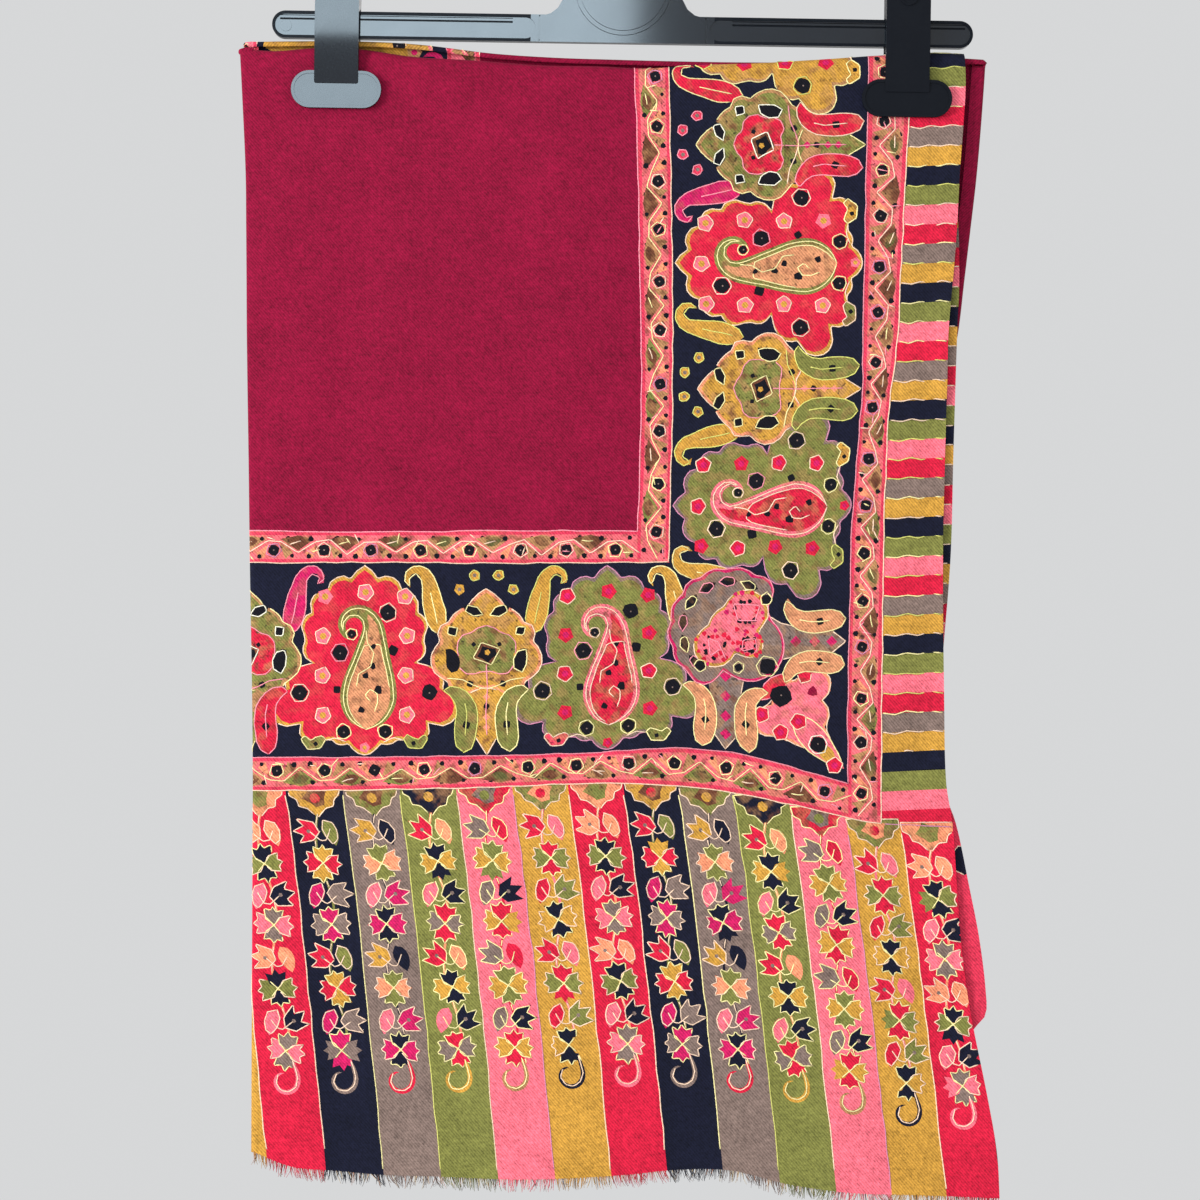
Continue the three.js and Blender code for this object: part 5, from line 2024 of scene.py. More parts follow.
@dataclass(frozen=True)
class PlasticFinish:
    """Moulded black plastic with faint scuffs and dust, polished where its Polish attribute says so.

    Attributes:
        name: the material's name.
        roughness: its base roughness.
        polish: how strongly its polished faces shine, from 0 to 1.
        colour: sRGB levels.
        scuff: how much the roughness varies.
    """

    name: str
    roughness: float
    polish: float
    colour: tuple[int, int, int] = (7, 10, 18)
    scuff: float = 0.12

    def build(self) -> Material:
        """Builds the material."""
        nodes = Nodes(self.name)
        place = nodes.place()
        flow = nodes.noise(place, 60.0, 4.0, 0.6)
        scratch = nodes.noise(place, 700.0, 3.0, 0.65)
        rough = self.roughness + (scratch - 0.5) * self.scuff + (flow - 0.5) * self.scuff * 0.6
        dusty = nodes.mix((flow * scratch) * 0.02, linear(self.colour), (0.3, 0.32, 0.35, 1))
        return nodes.surface({
            "Base Color": dusty,
            "Roughness": rough,
            "Normal": nodes.bump(flow + scratch * 0.02, 0.3, 0.0004),
            "Specular IOR Level": 0.08,
            "Coat Weight": nodes.attribute("Polish", "Fac") * self.polish * (0.88 + flow * 0.2),
            "Coat Roughness": 0.07,
            "Coat IOR": 1.5,
            "Coat Tint": (0.74, 0.88, 1.0, 1.0),
        })


@dataclass(frozen=True)
class WireFinish:
    """Bright plated steel wire with fine drawing marks."""

    name: str

    def build(self) -> Material:
        """Builds the material."""
        nodes = Nodes(self.name)
        place = nodes.place()
        marks = nodes.noise(place, 1400.0, 3.0, 0.6)
        dull = nodes.noise(place, 120.0)
        return nodes.surface({
            "Base Color": nodes.mix(dull, (0.60, 0.61, 0.63, 1), (0.74, 0.75, 0.76, 1)),
            "Metallic": 1.0,
            "Roughness": 0.16 + marks * 0.12 + dull * 0.08,
            "Normal": nodes.bump(marks, 0.08, 0.0001),
        })


@dataclass(frozen=True)
class FloorFinish:
    """A pale, plain floor."""

    name: str

    def build(self) -> Material:
        """Builds the material."""
        nodes = Nodes(self.name)
        soft = nodes.noise(nodes.place(), 1.2)
        tone = nodes.mix(soft, (0.66, 0.66, 0.65, 1), (0.72, 0.72, 0.71, 1))
        return nodes.surface({"Base Color": tone, "Roughness": 0.7})


def dress(piece: Piece, material: Material, node: str = "") -> Piece:
    """Gives a piece its material and its body, and hides the CAD node that it is shown for.

    Args:
        piece: the object.
        material: its finish.
        node: the CAD node that it replaces, if any.

    Returns:
        The same piece.
    """
    piece.data.materials.clear()
    piece.data.materials.append(material)
    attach(piece, BODY)
    if node:
        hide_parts(node)
    return piece


# ---- the shawl


@dataclass
class Layer:
    """One printed layer of the shawl: its cloth and its embroidery."""

    name: str
    drape: Drape
    chart: Chart
    border: Array
    pitch: float
    ground: Dye = Dye.CRIMSON
    wall: float = 0.6

    def cloth(self) -> Piece:
        """Builds the cloth, with the print in it.

        Returns:
            The cloth as a closed thin shell.
        """
        grid = cut_chart(self.chart, self.border, self.pitch, self.ground, self.drape.rails(self.border))
        points = self.drape.place(grid.points[:, 0], grid.points[:, 1])
        across = grid.points[grid.faces]
        first, second = across[:, 1] - across[:, 0], across[:, 2] - across[:, 0]
        turned = first[:, 0] * second[:, 1] - first[:, 1] * second[:, 0]
        faces = np.where((turned * self.drape.facing > 0)[:, None], grid.faces, grid.faces[:, ::-1])
        piece = make_mesh(self.name, points, faces)
        colour_faces(piece, grid.colours)
        chart_uv(piece, grid.points)
        apply_modifier(piece, "SOLIDIFY", thickness=self.wall * MM, offset=-1.0, use_even_offset=False)
        smooth_by_angle(piece, 50)
        return piece

    def stitching(self) -> Piece:
        """Builds the embroidery."""
        return Embroidery().build(f"{self.name}_stitching", self.chart, self.drape, self.border)


def edge_loop(
    left: Line, right: Line, top: Line, hem: Line, drops: tuple[float, float], pitch: float = 4.0
) -> Array:
    """Draws the border of a layer on the chart.

    Args:
        left: its left edge, along drop.
        right: its right edge, along drop.
        top: its top edge, along x.
        hem: its lower edge, along x.
        drops: rough drops of its top and its hem.
        pitch: spacing of the border's points.

    Returns:
        The border's corners, in order.
    """
    corners = []
    for side, end in ((left, top), (right, top), (right, hem), (left, hem)):
        drop = np.array(drops[0] if end is top else drops[1])
        for _ in range(8):
            drop = np.asarray(end(side(drop)))
        corners.append((float(side(drop)), float(drop)))
    (x0, d0), (x1, d1), (x2, d2), (x3, d3) = corners
    across, down, back, up = (
        np.linspace(start, end, int(abs(end - start) / pitch))
        for start, end in ((x0, x1), (d1, d2), (x2, x3), (d3, d0))
    )
    down, back, up = down[1:], back[1:], up[1:-1]
    parts = ((across, top(across)), (right(down), down), (back, hem(back)), (left(up), up))
    return np.vstack([columns(x, drop) for x, drop in parts])


UNDYED = ((214, 188, 146), (176, 120, 92), (60, 40, 36))  # cream, fawn and brown threads in the fringe


@dataclass
class Fringe:
    """The ravelled ends of the warp below a hem."""

    name: str
    drape: Drape
    hem: Line
    span: tuple[float, float]
    seed: int
    pitch: float = 0.34
    longest: float = 7.6
    shortest: float = 3.6
    radius: float = 0.24
    held: float = 0.8
    clumping: float = 0.16
    stations: int = 5
    sides: int = 3

    def build(self) -> Piece:
        """Builds the fringe as one mesh of thin, strayed threads in the stripes' colours."""
        hand = random.Random(self.seed)
        rings, faces, colours = [], [], []
        turn = 2 * math.pi * np.arange(self.sides) / self.sides
        ring = columns(np.cos(turn), np.sin(turn), 0 * turn)
        share = np.linspace(0, 1, self.stations)
        thin = self.radius * (1 - 0.55 * share) * MM
        x, clump = self.span[0], (0.0, 0.0)
        while x < self.span[1]:
            x += self.pitch * hand.uniform(0.5, 1.5)
            if hand.random() < self.clumping:
                clump = (hand.gauss(0.05, 0.2), hand.gauss(0, 0.14))
            length = hand.uniform(self.shortest, self.longest)
            lean, curl = clump[0] + hand.gauss(0, 0.1), clump[1] + hand.gauss(0, 0.08)
            start = float(self.hem(np.array(x))) - self.held
            xs = x + length * (lean * share + curl * share**2)
            drops = start + length * share * (1 - 0.12 * abs(lean))
            out = hand.uniform(-0.5, 0.9) * share
            middle = self.drape.place(xs, drops, -0.3 + out)
            rings.append((middle[:, None] + ring[None] * thin[:, None, None]).reshape(-1, 3))
            added = self.thread_faces(self.stations * self.sides * (len(rings) - 1))
            faces += added
            colours += [self.colour_at(x, start, hand)] * len(added)
        piece = make_mesh(self.name, np.vstack(rings), np.array(faces))
        colour_faces(piece, np.array(colours))
        return piece

    def thread_faces(self, count: int) -> list[tuple[int, int, int]]:
        """Lists the triangles of a thread whose corners are numbered from count."""
        faces, sides = [], self.sides
        for first in range(count, count + (self.stations - 1) * sides, sides):
            for j in range(sides):
                a, b = first + j, first + (j + 1) % sides
                faces += [(a, a + sides, b + sides), (a, b + sides, b)]
        last = count + (self.stations - 1) * sides
        return faces + [(count, count + 1, count + 2), (last, last + 2, last + 1)]

    def colour_at(self, x: float, drop: float, hand: random.Random) -> Array:
        """Picks the colour of the stripe above a thread, faded or swapped for an undyed one now and then."""
        number = next(n for n in range(-3, 15) if end_stripe_x(n + 1, np.array(drop)) > x or n == 14)
        base = np.array(linear(END_ORDER[number % 6].value))
        if hand.random() < 0.26:
            base = np.array(linear(hand.choice(UNDYED)))
        shade = hand.uniform(0.7, 1.15)
        return base * (shade, shade, shade, 1)


@dataclass
class InnerFold:
    """One hidden doubled layer inside the stack, which shows only at its rounded rim.

    Attributes:
        name: the piece's name.
        near: share of the inner space at which its front lies.
        far: share of the inner space at which its back lies.
        inset: how far its edges stay inside the outer layers' edges.
        seed: where its edges stray.
        hem_drop: how far down it reaches, before the inset.
        clear: space kept from the layers in front of it and behind.
    """

    name: str
    near: float
    far: float
    inset: float
    seed: int
    hem_drop: float = 549.0
    clear: float = 1.1
    wide: int = 40
    rows: int = 64
    rim: int = 5
    top_inset: float = 7.5

    def build(self) -> Piece:
        """Builds the doubled layer as a closed, soft-edged form between two shares of the inner space."""
        hand = random.Random(self.seed)
        waves = [(hand.uniform(18, 46), hand.uniform(0, 6.3)) for _ in range(4)]

        def wander(run: float) -> float:
            """Says how far an edge strays, by how far along it a place is."""
            return sum(0.35 * math.sin(run / size + start) for size, start in waves)

        down, across = np.linspace(0, 1, self.rows), np.linspace(0, 1, self.wide)
        fronts, backs = [], []
        for v in down:
            top = np.maximum(FRONT_TOP(TOP_SPAN[0] + 362 * across), BACK_TOP(TOP_SPAN[0] + 362 * across))
            top = top + self.top_inset + wander(0)
            drop = top + (self.hem_drop - self.inset + wander(90) - top) * v
            left = np.maximum(FOLD(drop), BACK_LEFT(drop)) + self.inset + wander(float(v) * 560)
            right = np.minimum(SELVEDGE(drop), BACK_FOLD(drop)) - self.inset + wander(700 + float(v) * 560)
            x = left + (right - left) * across
            low = STACK.inner(x, drop) + UNDER_DEPTH + self.clear
            high = STACK.back(x, drop) - self.clear
            for grid, share in ((fronts, self.near), (backs, self.far)):
                grid.append(columns(x, low + (high - low) * share, drop))
        return self.pillow(np.array(fronts), np.array(backs))

    def pillow(self, front: Array, back: Array) -> Piece:
        """Joins a front and a back grid by a half-round rim."""
        rows, wide = front.shape[:2]
        size, low, right = rows * wide, rows - 1, wide - 1
        number = np.arange(size).reshape(rows, wide)
        corners = (number[:-1, :-1], number[1:, :-1], number[1:, 1:], number[:-1, 1:])
        quads = np.stack(corners, axis=-1).reshape(-1, 4)
        faces = [quads, quads[:, ::-1] + size]
        ring = [(r, 0) for r in range(low)] + [(low, c) for c in range(right)]
        ring += [(r, right) for r in range(low, 0, -1)] + [(0, c) for c in range(right, 0, -1)]
        strips, rim_points = [], []
        for r, c in ring:
            out = np.array([(c == right) - (c == 0), 0, (r == low) - (r == 0)], float)
            out /= np.linalg.norm(out)
            first, last = front[r, c], back[r, c]
            bulge = max(abs(last[1] - first[1]) / 2, 0.3)
            start = 2 * size + len(rim_points)
            strips.append([number[r, c], *range(start, start + self.rim - 1), number[r, c] + size])
            for angle in math.pi * np.arange(1, self.rim) / self.rim:
                middle = (first + last) / 2 + (first - last) / 2 * math.cos(angle)
                rim_points.append(middle + out * bulge * math.sin(angle))
        around = np.array(strips)
        after = np.roll(around, -1, axis=0)
        for k in range(self.rim):
            faces.append(columns(around[:, k], around[:, k + 1], after[:, k + 1], after[:, k]))
        flat = np.vstack([front.reshape(-1, 3), back.reshape(-1, 3), np.array(rim_points)])
        piece = make_mesh(self.name, in_space(flat[:, 0], flat[:, 1], flat[:, 2]), np.vstack(faces))
        colour_faces(piece, np.tile(linear(Dye.CRIMSON.value), (len(piece.data.polygons), 1)))
        chart_uv(piece, columns(flat[:, 0], flat[:, 2] + flat[:, 1]))
        return piece


@dataclass
class Shawl:
    """The shawl: printed front, the layer under it, the inner folds, the back and the two fringes."""

    front_size: tuple[float, float] = (0.372, 0.585)
    under_size: tuple[float, float] = (0.360, 0.560)
    inner_size: tuple[float, float] = (0.335, 0.535)
    back_size: tuple[float, float] = (0.376, 0.556)
    front_clips: tuple[str, ...] = ("left_clip_front", "right_clip_front")
    back_clips: tuple[str, ...] = ("left_clip_back", "right_clip_back")

    def build(self) -> list[Piece]:
        """Builds and dresses every layer, and gives their pieces."""
        self.twill = TwillFinish("printed_twill").build()
        self.yarn = YarnFinish("embroidery_yarn").build()
        self.ravelled = YarnFinish("ravelled_wool", roughness=0.8).build()
        return [*self.front(), *self.under(), *self.inner(), *self.back()]

    def front(self) -> list[Piece]:
        """Builds the printed front with its embroidery and fringe."""
        drape = FRONT_DRAPE
        left = shifted(FOLD, drape.side_radius - drape.side_turn)
        border = edge_loop(left, SELVEDGE, shifted(FRONT_TOP, -drape.top_turn), HEM, (5.0, 575.0))
        layer = Layer("front_cloth", drape, FrontPrint().draw(), border, 5.0)
        cloth = dress(layer.cloth(), self.twill, "front_fall")
        sewn = dress(layer.stitching(), self.yarn)
        threads = Fringe("front_fringe_threads", drape, HEM, (-185.0, 187.2), 5).build()
        fringe = dress(threads, self.ravelled, "front_fringe")
        return [cloth, sewn, fringe]

    def under(self) -> list[Piece]:
        """Builds the layer under the front, with its fringe."""
        drape, hem = UNDER_DRAPE, shifted(HEM, -5.0)
        # Painted shade: the under layer's twill is the front's twill with every colour darkened to 92 %, for
        # the layer that lies back under the front.
        painted_shade_twill = TwillFinish("under_twill_painted_shade", tint=(0.92, 0.92, 0.92, 1)).build()
        border = edge_loop(shifted(FOLD, 7.0), UNDER_EDGE, shifted(FRONT_TOP, 6.5), hem, (20.0, 570.0))
        layer = Layer("under_cloth", drape, UnderPrint().draw(), border, 7.0)
        cloth = dress(layer.cloth(), painted_shade_twill, "under_fall")
        sewn = dress(layer.stitching(), self.yarn)
        threads = Fringe("under_fringe_threads", drape, hem, (-177.0, 170.5), 6, pitch=0.7).build()
        fringe = dress(threads, self.ravelled, "under_fringe")
        return [cloth, sewn, fringe]

    def inner(self) -> list[Piece]:
        """Builds the hidden inner folds."""
        plain = TwillFinish("crimson_twill").build()
        folds = (
            InnerFold("inner_fold_1", 0.02, 0.32, 5.2, 3),
            InnerFold("inner_fold_2", 0.35, 0.65, 6.4, 8, hem_drop=544.0),
            InnerFold("inner_fold_3", 0.68, 0.98, 5.6, 14, hem_drop=551.0),
        )
        pieces = [dress(fold.build(), plain, "core_layers") for fold in folds]
        return pieces

    def back(self) -> list[Piece]:
        """Builds the back with its embroidery."""
        drape = BACK_DRAPE
        turn = drape.side_turn - drape.side_radius
        sides = (shifted(BACK_LEFT, -turn), shifted(BACK_FOLD, turn))
        ends = (shifted(BACK_TOP, -drape.top_turn), level_line(BACK_HEM_DROP))
        border = edge_loop(*sides, *ends, (5.0, BACK_HEM_DROP))
        layer = Layer("back_cloth", drape, BackPrint().draw(), border, 7.0)
        cloth = dress(layer.cloth(), self.twill, "back_fall")
        sewn = dress(layer.stitching(), self.yarn)
        return [cloth, sewn]


# ---- the hanger


def in_edit_mode(piece: Piece, mode: str) -> None:
    """Opens a piece for editing with faces or edges to pick, and nothing picked."""
    select_only(piece)
    bpy.ops.object.mode_set(mode="EDIT")
    bpy.ops.mesh.select_mode(type=mode)
    bpy.ops.mesh.select_all(action="DESELECT")
    bpy.ops.object.mode_set(mode="OBJECT")


def pick_faces(piece: Piece, wanted: Callable[[bpy.types.MeshPolygon], bool]) -> None:
    """Picks faces by their place or normal and opens the piece for editing."""
    in_edit_mode(piece, "FACE")
    for face in piece.data.polygons:
        face.select = wanted(face)
    bpy.ops.object.mode_set(mode="EDIT")


def pick_edges(piece: Piece, wanted: Callable[[Vector, Vector], bool]) -> None:
    """Picks edges by their two ends and opens the piece for editing."""
    in_edit_mode(piece, "EDGE")
    for edge in piece.data.edges:
        first, last = (piece.data.vertices[i].co for i in edge.vertices)
        edge.select = wanted(first, last)
    bpy.ops.object.mode_set(mode="EDIT")


def done_editing() -> None:
    """Goes back to object mode."""
    bpy.ops.object.mode_set(mode="OBJECT")


def block(name: str, size: Triple, middle: Triple) -> Piece:
    """Adds a cube at its size and place, in millimetres about the bar's middle."""
    clear_selection()
    bpy.ops.mesh.primitive_cube_add(size=1)
    piece = bpy.context.active_object
    piece.name = piece.data.name = name
    for vertex in piece.data.vertices:
        vertex.co = [vertex.co[k] * size[k] * MM + middle[k] * MM for k in range(3)]
    return piece


def round_ends(piece: Piece, radius: float, segments: int = 10) -> None:
    """Rounds the edges that run front to back, as on a pill."""
    pick_edges(piece, lambda a, b: abs(a.x - b.x) < 1e-6 and abs(a.z - b.z) < 1e-6)
    bpy.ops.mesh.bevel(offset=radius * MM, segments=segments, affect="EDGES", clamp_overlap=True)
    done_editing()


def pill(name: str, size: Triple, middle: Triple, radius: float) -> Piece:
    """Makes a flat bar with round ends, seen from the front."""
    piece = block(name, size, middle)
    round_ends(piece, min(radius, size[2] / 2 - 0.15))
    return piece


def soften(piece: Piece, width: float, segments: int = 3) -> None:
    """Takes the sharpness off a moulded piece's edges."""
    limit = {"limit_method": "ANGLE", "angle_limit": math.radians(35)}
    apply_modifier(piece, "BEVEL", width=width * MM, segments=segments, **limit)
    smooth_by_angle(piece, 12)


def combine(piece: Piece, other: Piece, operation: str) -> None:
    """Joins another solid to a piece, or cuts it out of it, and removes the other."""
    apply_modifier(piece, "BOOLEAN", object=other, operation=operation, solver="EXACT")
    mesh = other.data
    bpy.data.objects.remove(other)
    bpy.data.meshes.remove(mesh)


def disc(name: str, radius: float, depth: float, middle: Triple, corners: int = 72) -> Piece:
    """Adds a round plate that faces the front."""
    clear_selection()
    bpy.ops.mesh.primitive_cylinder_add(
        vertices=corners, radius=radius * MM, depth=depth * MM, rotation=(math.pi / 2, 0, 0),
        location=[m * MM for m in middle],
    )
    piece = bpy.context.active_object
    piece.name = piece.data.name = name
    bpy.ops.object.transform_apply(location=True, rotation=True, scale=True)
    return piece


def dish_face(piece: Piece, facing: int, rim: float, depth: float) -> None:
    """Sinks a piece's outer face inside a rim."""
    pick_faces(piece, lambda face: face.normal.y * facing > 0.9)
    bpy.ops.mesh.inset(thickness=rim * MM)
    bpy.ops.mesh.extrude_region_move(TRANSFORM_OT_translate={"value": (0, -facing * depth * MM, 0)})
    done_editing()


def polish(piece: Piece, wanted: Callable[[bpy.types.MeshPolygon], bool]) -> None:
    """Marks the faces of a moulded piece that are polished."""
    marks = piece.data.attributes.new("Polish", "FLOAT", "FACE")
    marks.data.foreach_set("value", [float(wanted(face)) for face in piece.data.polygons])


def hang(piece: Piece, pivot: Triple = BAR_MIDDLE) -> Piece:
    """Moves a piece made about the bar's middle to its place on the leaning hanger, and gives it back."""
    cos, sin = math.cos(LEAN), math.sin(LEAN)
    for vertex in piece.data.vertices:
        x, y, z = vertex.co
        leant = (x * cos + z * sin, y, z * cos - x * sin)
        vertex.co = [leant[k] + pivot[k] * MM for k in range(3)]
    return piece


@dataclass
class Hanger:
    """The moulded bar with its arch, boss and socket, and the wire hook. Sizes in millimetres.

    Attributes:
        length, height, depth: the bar's.
        channel: x at which the sunk channel in each half of the bar starts and ends.
        rib_span: x at which the rib in a channel starts and ends.
        sunk: how deep the channels are.
        edge: the rim left round a channel.
        arch_foot: x at which the polished arch ends.
        arch_rows: heights on the arch and its half-width at each.
        boss_rise, boss_radius, boss_depth: the round boss's.
        socket: radius of the hook's socket, and the heights of its foot and top.
        wire: radius of the hook's wire.
        bow: inner radius of the hook's bow.
        hook_turn: how far the neck bends aside, in degrees.
        hook_tip: how far the bow goes round, in degrees from level.
    """

    length: float = 351.0
    height: float = 13.6
    depth: float = 6.0
    channel: tuple[float, float] = (43.6, 174.0)
    rib_span: tuple[float, float] = (55.0, 171.6)
    sunk: float = 0.7
    edge: float = 1.5
    arch_foot: float = 46.0
    arch_rows: tuple[tuple[float, float], ...] = (
        (5.8, 42.0), (7.6, 36.0), (10.5, 32.4), (15.0, 30.0),
        (21.0, 27.6), (27.0, 23.6), (32.0, 19.0), (38.0, 15.0),
    )
    boss_rise: float = 21.0
    boss_radius: float = 24.0
    boss_depth: float = 8.0
    socket: tuple[float, float, float] = (4.75, 38.0, 58.0)
    wire: float = 1.8
    bow: float = 18.0
    hook_turn: float = 65.0
    hook_tip: float = 205.0

    def build(self) -> list[Piece]:
        """Builds and dresses the hanger, and gives its pieces."""
        gloss = PlasticFinish("black_gloss_plastic", 0.3, 1.0).build()
        plated = WireFinish("plated_wire").build()
        body = dress(hang(self.body()), gloss, "hanger_body")
        return [body, dress(self.hook(), plated, "hanger_hook")]

    def body(self) -> Piece:
        """Models the bar, cuts its channels, and joins the arch, the boss and the socket.

        Returns:
            The moulded body about the bar's middle.
        """
        bar = pill("hanger_moulding", (self.length, self.depth, self.height), (0, 0, 0), self.height / 2)
        for face in (-1, 1):
            for side in (-1, 1):
                self.channelled(bar, face, side)
        combine(bar, self.arch(), "UNION")
        boss = disc("boss", self.boss_radius, self.boss_depth, (0, 0, self.boss_rise))
        pick_faces(boss, lambda face: abs(face.normal.y) > 0.9)
        bpy.ops.mesh.inset(thickness=2.2 * MM, use_individual=True)
        bpy.ops.mesh.extrude_region_shrink_fatten(TRANSFORM_OT_shrink_fatten={"value": 0.9 * MM})
        done_editing()
        combine(bar, boss, "UNION")
        radius, low, high = self.socket
        clear_selection()
        bpy.ops.mesh.primitive_cone_add(
            vertices=40, radius1=(radius + 0.6) * MM, radius2=radius * MM, depth=(high - low) * MM,
            location=(0, 0, (low + high) / 2 * MM),
        )
        socket = bpy.context.active_object
        bpy.ops.object.transform_apply(location=True, rotation=True, scale=True)
        combine(bar, socket, "UNION")
        for face in (-1, 1):
            for x, radius in ((-168.6, 2.9), (-38.6, 1.5)):
                rivet = disc("rivet", radius, 0.7, (x, face * (self.depth / 2 - self.sunk), -0.6), 40)
                combine(bar, rivet, "UNION")
        for side in (-1, 1):
            pick_faces(bar, lambda face: True)
            bpy.ops.mesh.bisect(plane_co=(side * self.arch_foot * MM, 0, 0), plane_no=(1, 0, 0))
            done_editing()
        soften(bar, 0.3, 2)
        low, high = (self.depth / 2 - self.sunk - 0.1) * MM, (self.depth / 2 - 0.2) * MM
        foot = self.arch_foot * MM

        def shines(face: bpy.types.MeshPolygon) -> bool:
            """Tells the arch and the floors of the channels from the rim and the grooves."""
            deep = abs(face.center.y)
            return abs(face.normal.y) > 0.96 and deep > low and (deep < high or abs(face.center.x) < foot)

        polish(bar, shines)
        return bar

    def channelled(self, bar: Piece, face: int, side: int) -> None:
        """Sinks one channel into the bar, with a rib and a groove along it.

        Args:
            bar: the bar.
            face: -1 for the channel at the front, 1 at the back.
            side: -1 for the left half, 1 for the right.
        """
        start, end = self.channel
        y = face * self.depth / 2
        tall = self.height - 2 * self.edge
        floor = pill("cutter", (end - start, 2 * self.sunk, tall), (side * (start + end) / 2, y, 0), tall / 2)
        combine(bar, floor, "DIFFERENCE")
        inner, outer = self.rib_span
        for rise_mm, high, low in ((2.9, 0.95, 1.7), (4.7, 0.35, 1.5)):
            size = (outer - inner, low, high)
            middle = (side * (inner + outer) / 2, y - face * self.sunk, rise_mm)
            groove = pill("cutter", size, middle, high / 2)
            combine(bar, groove, "DIFFERENCE")
        joint = block("cutter", (0.6, 1.8, self.height - 1.0), (side * 41.6, y, 0.1))
        combine(bar, joint, "DIFFERENCE")

    def arch(self) -> Piece:
        """Models the arch by extruding its foot upwards, narrower at each step."""
        level, half = self.arch_rows[0]
        arch = block("arch", (2 * half, 5.0, 2 * level), (0, 0, 0))
        for rise_mm, narrower in self.arch_rows[1:]:
            pick_faces(arch, lambda face: face.normal.z > 0.9 and abs(face.center.z - level * MM) < 1e-5)
            lift = (rise_mm - level) * MM
            bpy.ops.mesh.extrude_region_move(TRANSFORM_OT_translate={"value": (0, 0, lift)})
            bpy.ops.transform.resize(value=(narrower / half, 1, 1), center_override=(0, 0, rise_mm * MM))
            done_editing()
            level, half = rise_mm, narrower
        return arch

    def hook(self) -> Piece:
        """Models the wire: a round section drawn up the shank, bent aside, and spun round the bow.

        Returns:
            The hook, in the part's frame.
        """
        radius = self.bow + self.wire
        turn = math.radians(self.hook_turn)
        bend = radius * math.cos(turn) / (1 - math.cos(turn))
        shank_top = -self.bow - (radius + bend) * math.sin(turn)
        shank_foot = -(HOOK_TO_BAR - self.socket[2]) + 0.3
        clear_selection()
        foot = (0, 0, shank_foot * MM)
        bpy.ops.mesh.primitive_circle_add(vertices=20, radius=self.wire * MM, location=foot)
        hook = bpy.context.active_object
        hook.name = hook.data.name = "wire_hook"
        bpy.ops.object.transform_apply(location=True, rotation=True, scale=True)
        bpy.ops.object.mode_set(mode="EDIT")
        bpy.ops.mesh.select_mode(type="VERT")
        bpy.ops.mesh.select_all(action="SELECT")
        shank = (shank_top - shank_foot) * MM
        bpy.ops.mesh.extrude_region_move(TRANSFORM_OT_translate={"value": (0, 0, shank)})
        bpy.ops.mesh.spin(steps=14, angle=-turn, center=(bend * MM, 0, shank_top * MM), axis=(0, 1, 0))
        sweep = math.radians(self.hook_tip) + turn
        bpy.ops.mesh.spin(steps=56, angle=sweep, center=(0, 0, -self.bow * MM), axis=(0, 1, 0))
        bpy.ops.mesh.extrude_region_move(TRANSFORM_OT_translate={"value": (0, 0, 0)})
        bpy.ops.transform.resize(value=(0.6, 0.6, 0.6))
        bpy.ops.mesh.edge_face_add()
        bpy.ops.mesh.select_all(action="SELECT")
        bpy.ops.mesh.remove_doubles(threshold=1e-6)
        bpy.ops.mesh.fill_holes(sides=0)
        bpy.ops.mesh.normals_make_consistent(inside=False)
        done_editing()
        hang(hook, (0, 0, 0))
        smooth_by_angle(hook, 50)
        return hook


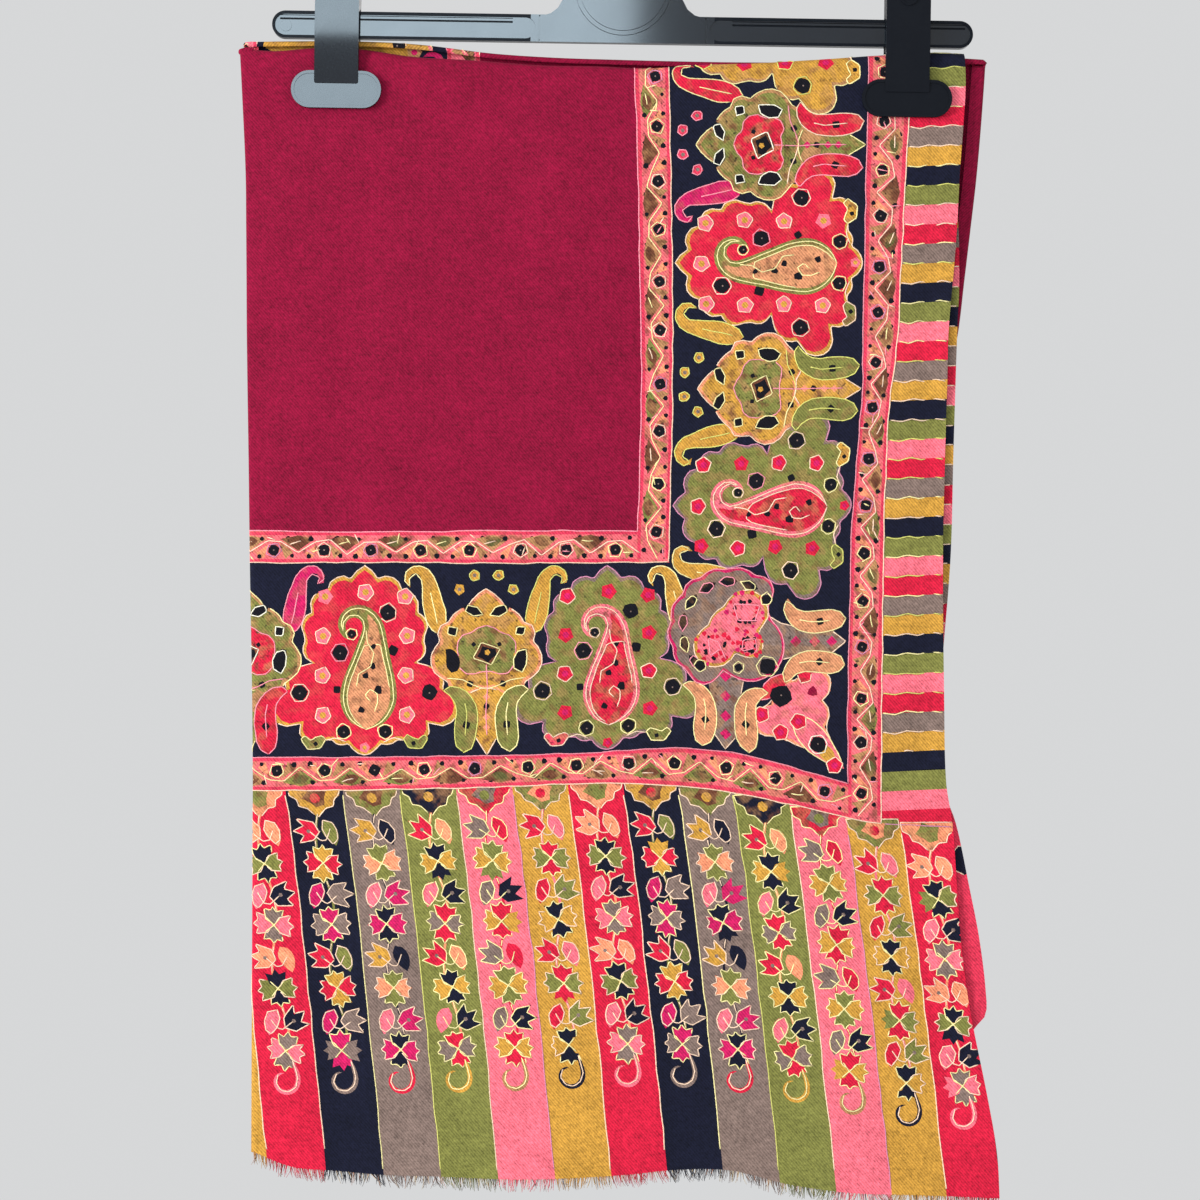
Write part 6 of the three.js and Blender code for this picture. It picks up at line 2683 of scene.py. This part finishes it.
@dataclass
class Clip:
    """One clip: two jaws with dished pads, and the block that joins them over the bar, in millimetres.

    Attributes:
        name: "left" or "right".
        x: its middle.
        roughness: its plastic's roughness.
        shine: how strongly its flat faces shine.
        arm: width of its arms.
        thickness: the pads' thickness.
        proud: how much thicker the arms are.
        bend: drop at which an arm starts to bend in, and how far it bends.
        top: how high it stands over the bar's middle.
        arm_end: how far down an arm reaches.
        pad_drop: drop of a pad's middle.
        pad: a pad's width and height.
        rim, dish: width of a pad's raised rim and how deep it is inside.
        gap: space between a jaw and the pinched cloth.
        eye: radius and height of the pivot's eye.
        bridge_low: height of the joining block's underside.
    """

    name: str
    x: float
    roughness: float
    shine: float
    arm: float = 22.0
    thickness: float = 3.0
    proud: float = 1.6
    bend: tuple[float, float] = (8.0, 1.5)
    top: float = 22.0
    arm_end: float = 29.8
    pad_drop: float = 32.8
    pad: tuple[float, float] = (CLIP_PAD, 18.6)
    rim: float = 1.5
    dish: float = 0.5
    gap: float = 0.3
    eye: tuple[float, float] = (4.4, 17.6)
    bridge_low: float = 7.3

    def build(self) -> list[Piece]:
        """Builds and dresses the clip, and gives its pieces."""
        finish = PlasticFinish(f"{self.name}_clip_plastic", self.roughness, self.shine).build()
        parts = {"front_jaw": self.jaw(-1, "front"), "back_jaw": self.jaw(1, "back"), "saddle": self.saddle()}
        for node, part in parts.items():
            dress(hang(part), finish, f"{self.name}_clip_{node}")
        return list(parts.values())

    def jaw(self, facing: int, side: str) -> Piece:
        """Models one jaw: an arm that bends in towards its lower end, joined to a pad with a raised rim.

        Args:
            facing: -1 for the jaw at the front, 1 for the one at the back.
            side: "front" or "back", for its name.

        Returns:
            The jaw about the bar's middle.
        """
        inner = facing * (STACK_PINCHED / 2 + self.gap)
        deep = self.thickness + self.proud
        middle = (self.x, inner + facing * deep / 2, (self.top - self.arm_end) / 2)
        arm = pill(f"{self.name}_clip_{side}", (self.arm, deep, self.top + self.arm_end), middle, 1.0)
        start, depth = self.bend
        pick_faces(arm, lambda face: True)
        bpy.ops.mesh.bisect(plane_co=(0, 0, -start * MM), plane_no=(0, 0, 1))
        done_editing()
        front = (inner + facing * deep) * MM
        low = -(self.arm_end - 1.1) * MM
        pick_edges(arm, lambda a, b: max(a.z, b.z) < low and max(abs(a.y - front), abs(b.y - front)) < 1e-5)
        bpy.ops.transform.translate(value=(0, -facing * depth * MM, 0))
        done_editing()
        half = self.thickness / 2 - 0.1
        place = (self.x, inner + facing * (half + 0.1), -self.pad_drop)
        pad = pill("pad", (self.pad[0], 2 * half, self.pad[1]), place, self.pad[1])
        dish_face(pad, facing, self.rim, self.dish)
        combine(arm, pad, "UNION")
        radius, height = self.eye
        eye = disc("eye", radius, 1.6, (self.x, front / MM, height), 40)
        dish_face(eye, facing, 0.9, 0.6)
        combine(arm, eye, "UNION")
        soften(arm, 0.7)
        polish(arm, lambda face: face.normal.y * facing > 0.9)
        return arm

    def saddle(self) -> Piece:
        """Models the block over the bar."""
        size = (self.arm, STACK_PINCHED, self.top - self.bridge_low)
        bridge = pill(f"{self.name}_clip_bridge", size, (self.x, 0, (self.top + self.bridge_low) / 2), 2.0)
        soften(bridge, 0.4)
        polish(bridge, lambda face: False)
        return bridge


# ---- the studio


@dataclass
class Studio:
    """Floor, lights and camera. Sizes in metres.

    Attributes:
        frame_width: width of what the camera sees at the shawl.
        distance: from the camera to the shawl.
        middle: x and z of the middle of what it sees.
        sensor: the camera's sensor, in millimetres.
        floor_z: height of the floor.
    """

    frame_width: float = 0.600
    distance: float = 1.9
    middle: tuple[float, float] = (-0.01318, -0.40574)
    sensor: float = 36.0
    floor_z: float = -1.6

    def build(self) -> None:
        """Builds the studio."""
        self.floor()
        self.lights()
        self.camera()

    def floor(self) -> None:
        """Adds the pale floor."""
        clear_selection()
        bpy.ops.mesh.primitive_plane_add(size=9, location=(0, 0, self.floor_z))
        floor = bpy.context.active_object
        floor.name = "floor"
        floor.data.materials.append(FloorFinish("pale_floor").build())

    def lights(self) -> None:
        """Adds soft lamps and a pale surround."""
        plain, bluish = (1.0, 1.0, 1.0), (0.7, 0.88, 1.0)
        lamps = (
            ("key", (-1.8, -1.35, 0.1), (0.9, 0.9), 52.0, plain),
            ("fill", (1.5, -1.9, -0.6), (1.6, 1.6), 5.0, plain),
            ("top", (0.1, -0.9, 1.35), (1.2, 1.2), 3.0, plain),
            ("behind", (0.4, 2.2, 0.5), (1.8, 1.8), 14.0, plain),
            ("window", (-0.33, -2.3, 0.24), (0.72, 0.34), 9.0, bluish),
        )
        target = Vector((0, 0, self.middle[1]))
        for name, place, size, power, colour in lamps:
            data = bpy.data.lights.new(name, "AREA")
            data.shape, data.energy = "RECTANGLE", power
            data.size, data.size_y = size
            data.color = colour
            lamp = bpy.data.objects.new(name, data)
            lamp.location = place
            lamp.rotation_euler = (target - Vector(place)).to_track_quat("-Z", "Y").to_euler()
            bpy.context.scene.collection.objects.link(lamp)
        world = bpy.data.worlds.new("studio")
        world.use_nodes = True
        background = world.node_tree.nodes["Background"]
        background.inputs["Color"].default_value = (0.98, 0.99, 1.0, 1)
        background.inputs["Strength"].default_value = 0.69
        bpy.context.scene.world = world
        bpy.context.scene.view_settings.view_transform = "Standard"

    def camera(self) -> None:
        """Adds the camera, square to the front."""
        data = bpy.data.cameras.new("camera")
        data.sensor_width = self.sensor
        data.lens = self.sensor * self.distance / self.frame_width
        camera = bpy.data.objects.new("camera", data)
        camera.location = (self.middle[0], -self.distance - 0.0055, self.middle[1])
        camera.rotation_euler = (math.pi / 2, 0, 0)
        bpy.context.scene.collection.objects.link(camera)
        bpy.context.scene.camera = camera


def main() -> None:
    """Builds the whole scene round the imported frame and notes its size."""
    logging.basicConfig(level=logging.INFO, format="%(name)s: %(message)s")
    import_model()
    Studio().build()
    for part in (Shawl(), Hanger(), Clip("left", -CLIP_X, 0.34, 0.8), Clip("right", CLIP_X, 0.5, 0.06)):
        for piece in part.build():
            LOG.info("%s: %d faces", piece.name, len(piece.data.polygons))


if __name__ == "__main__":
    main()
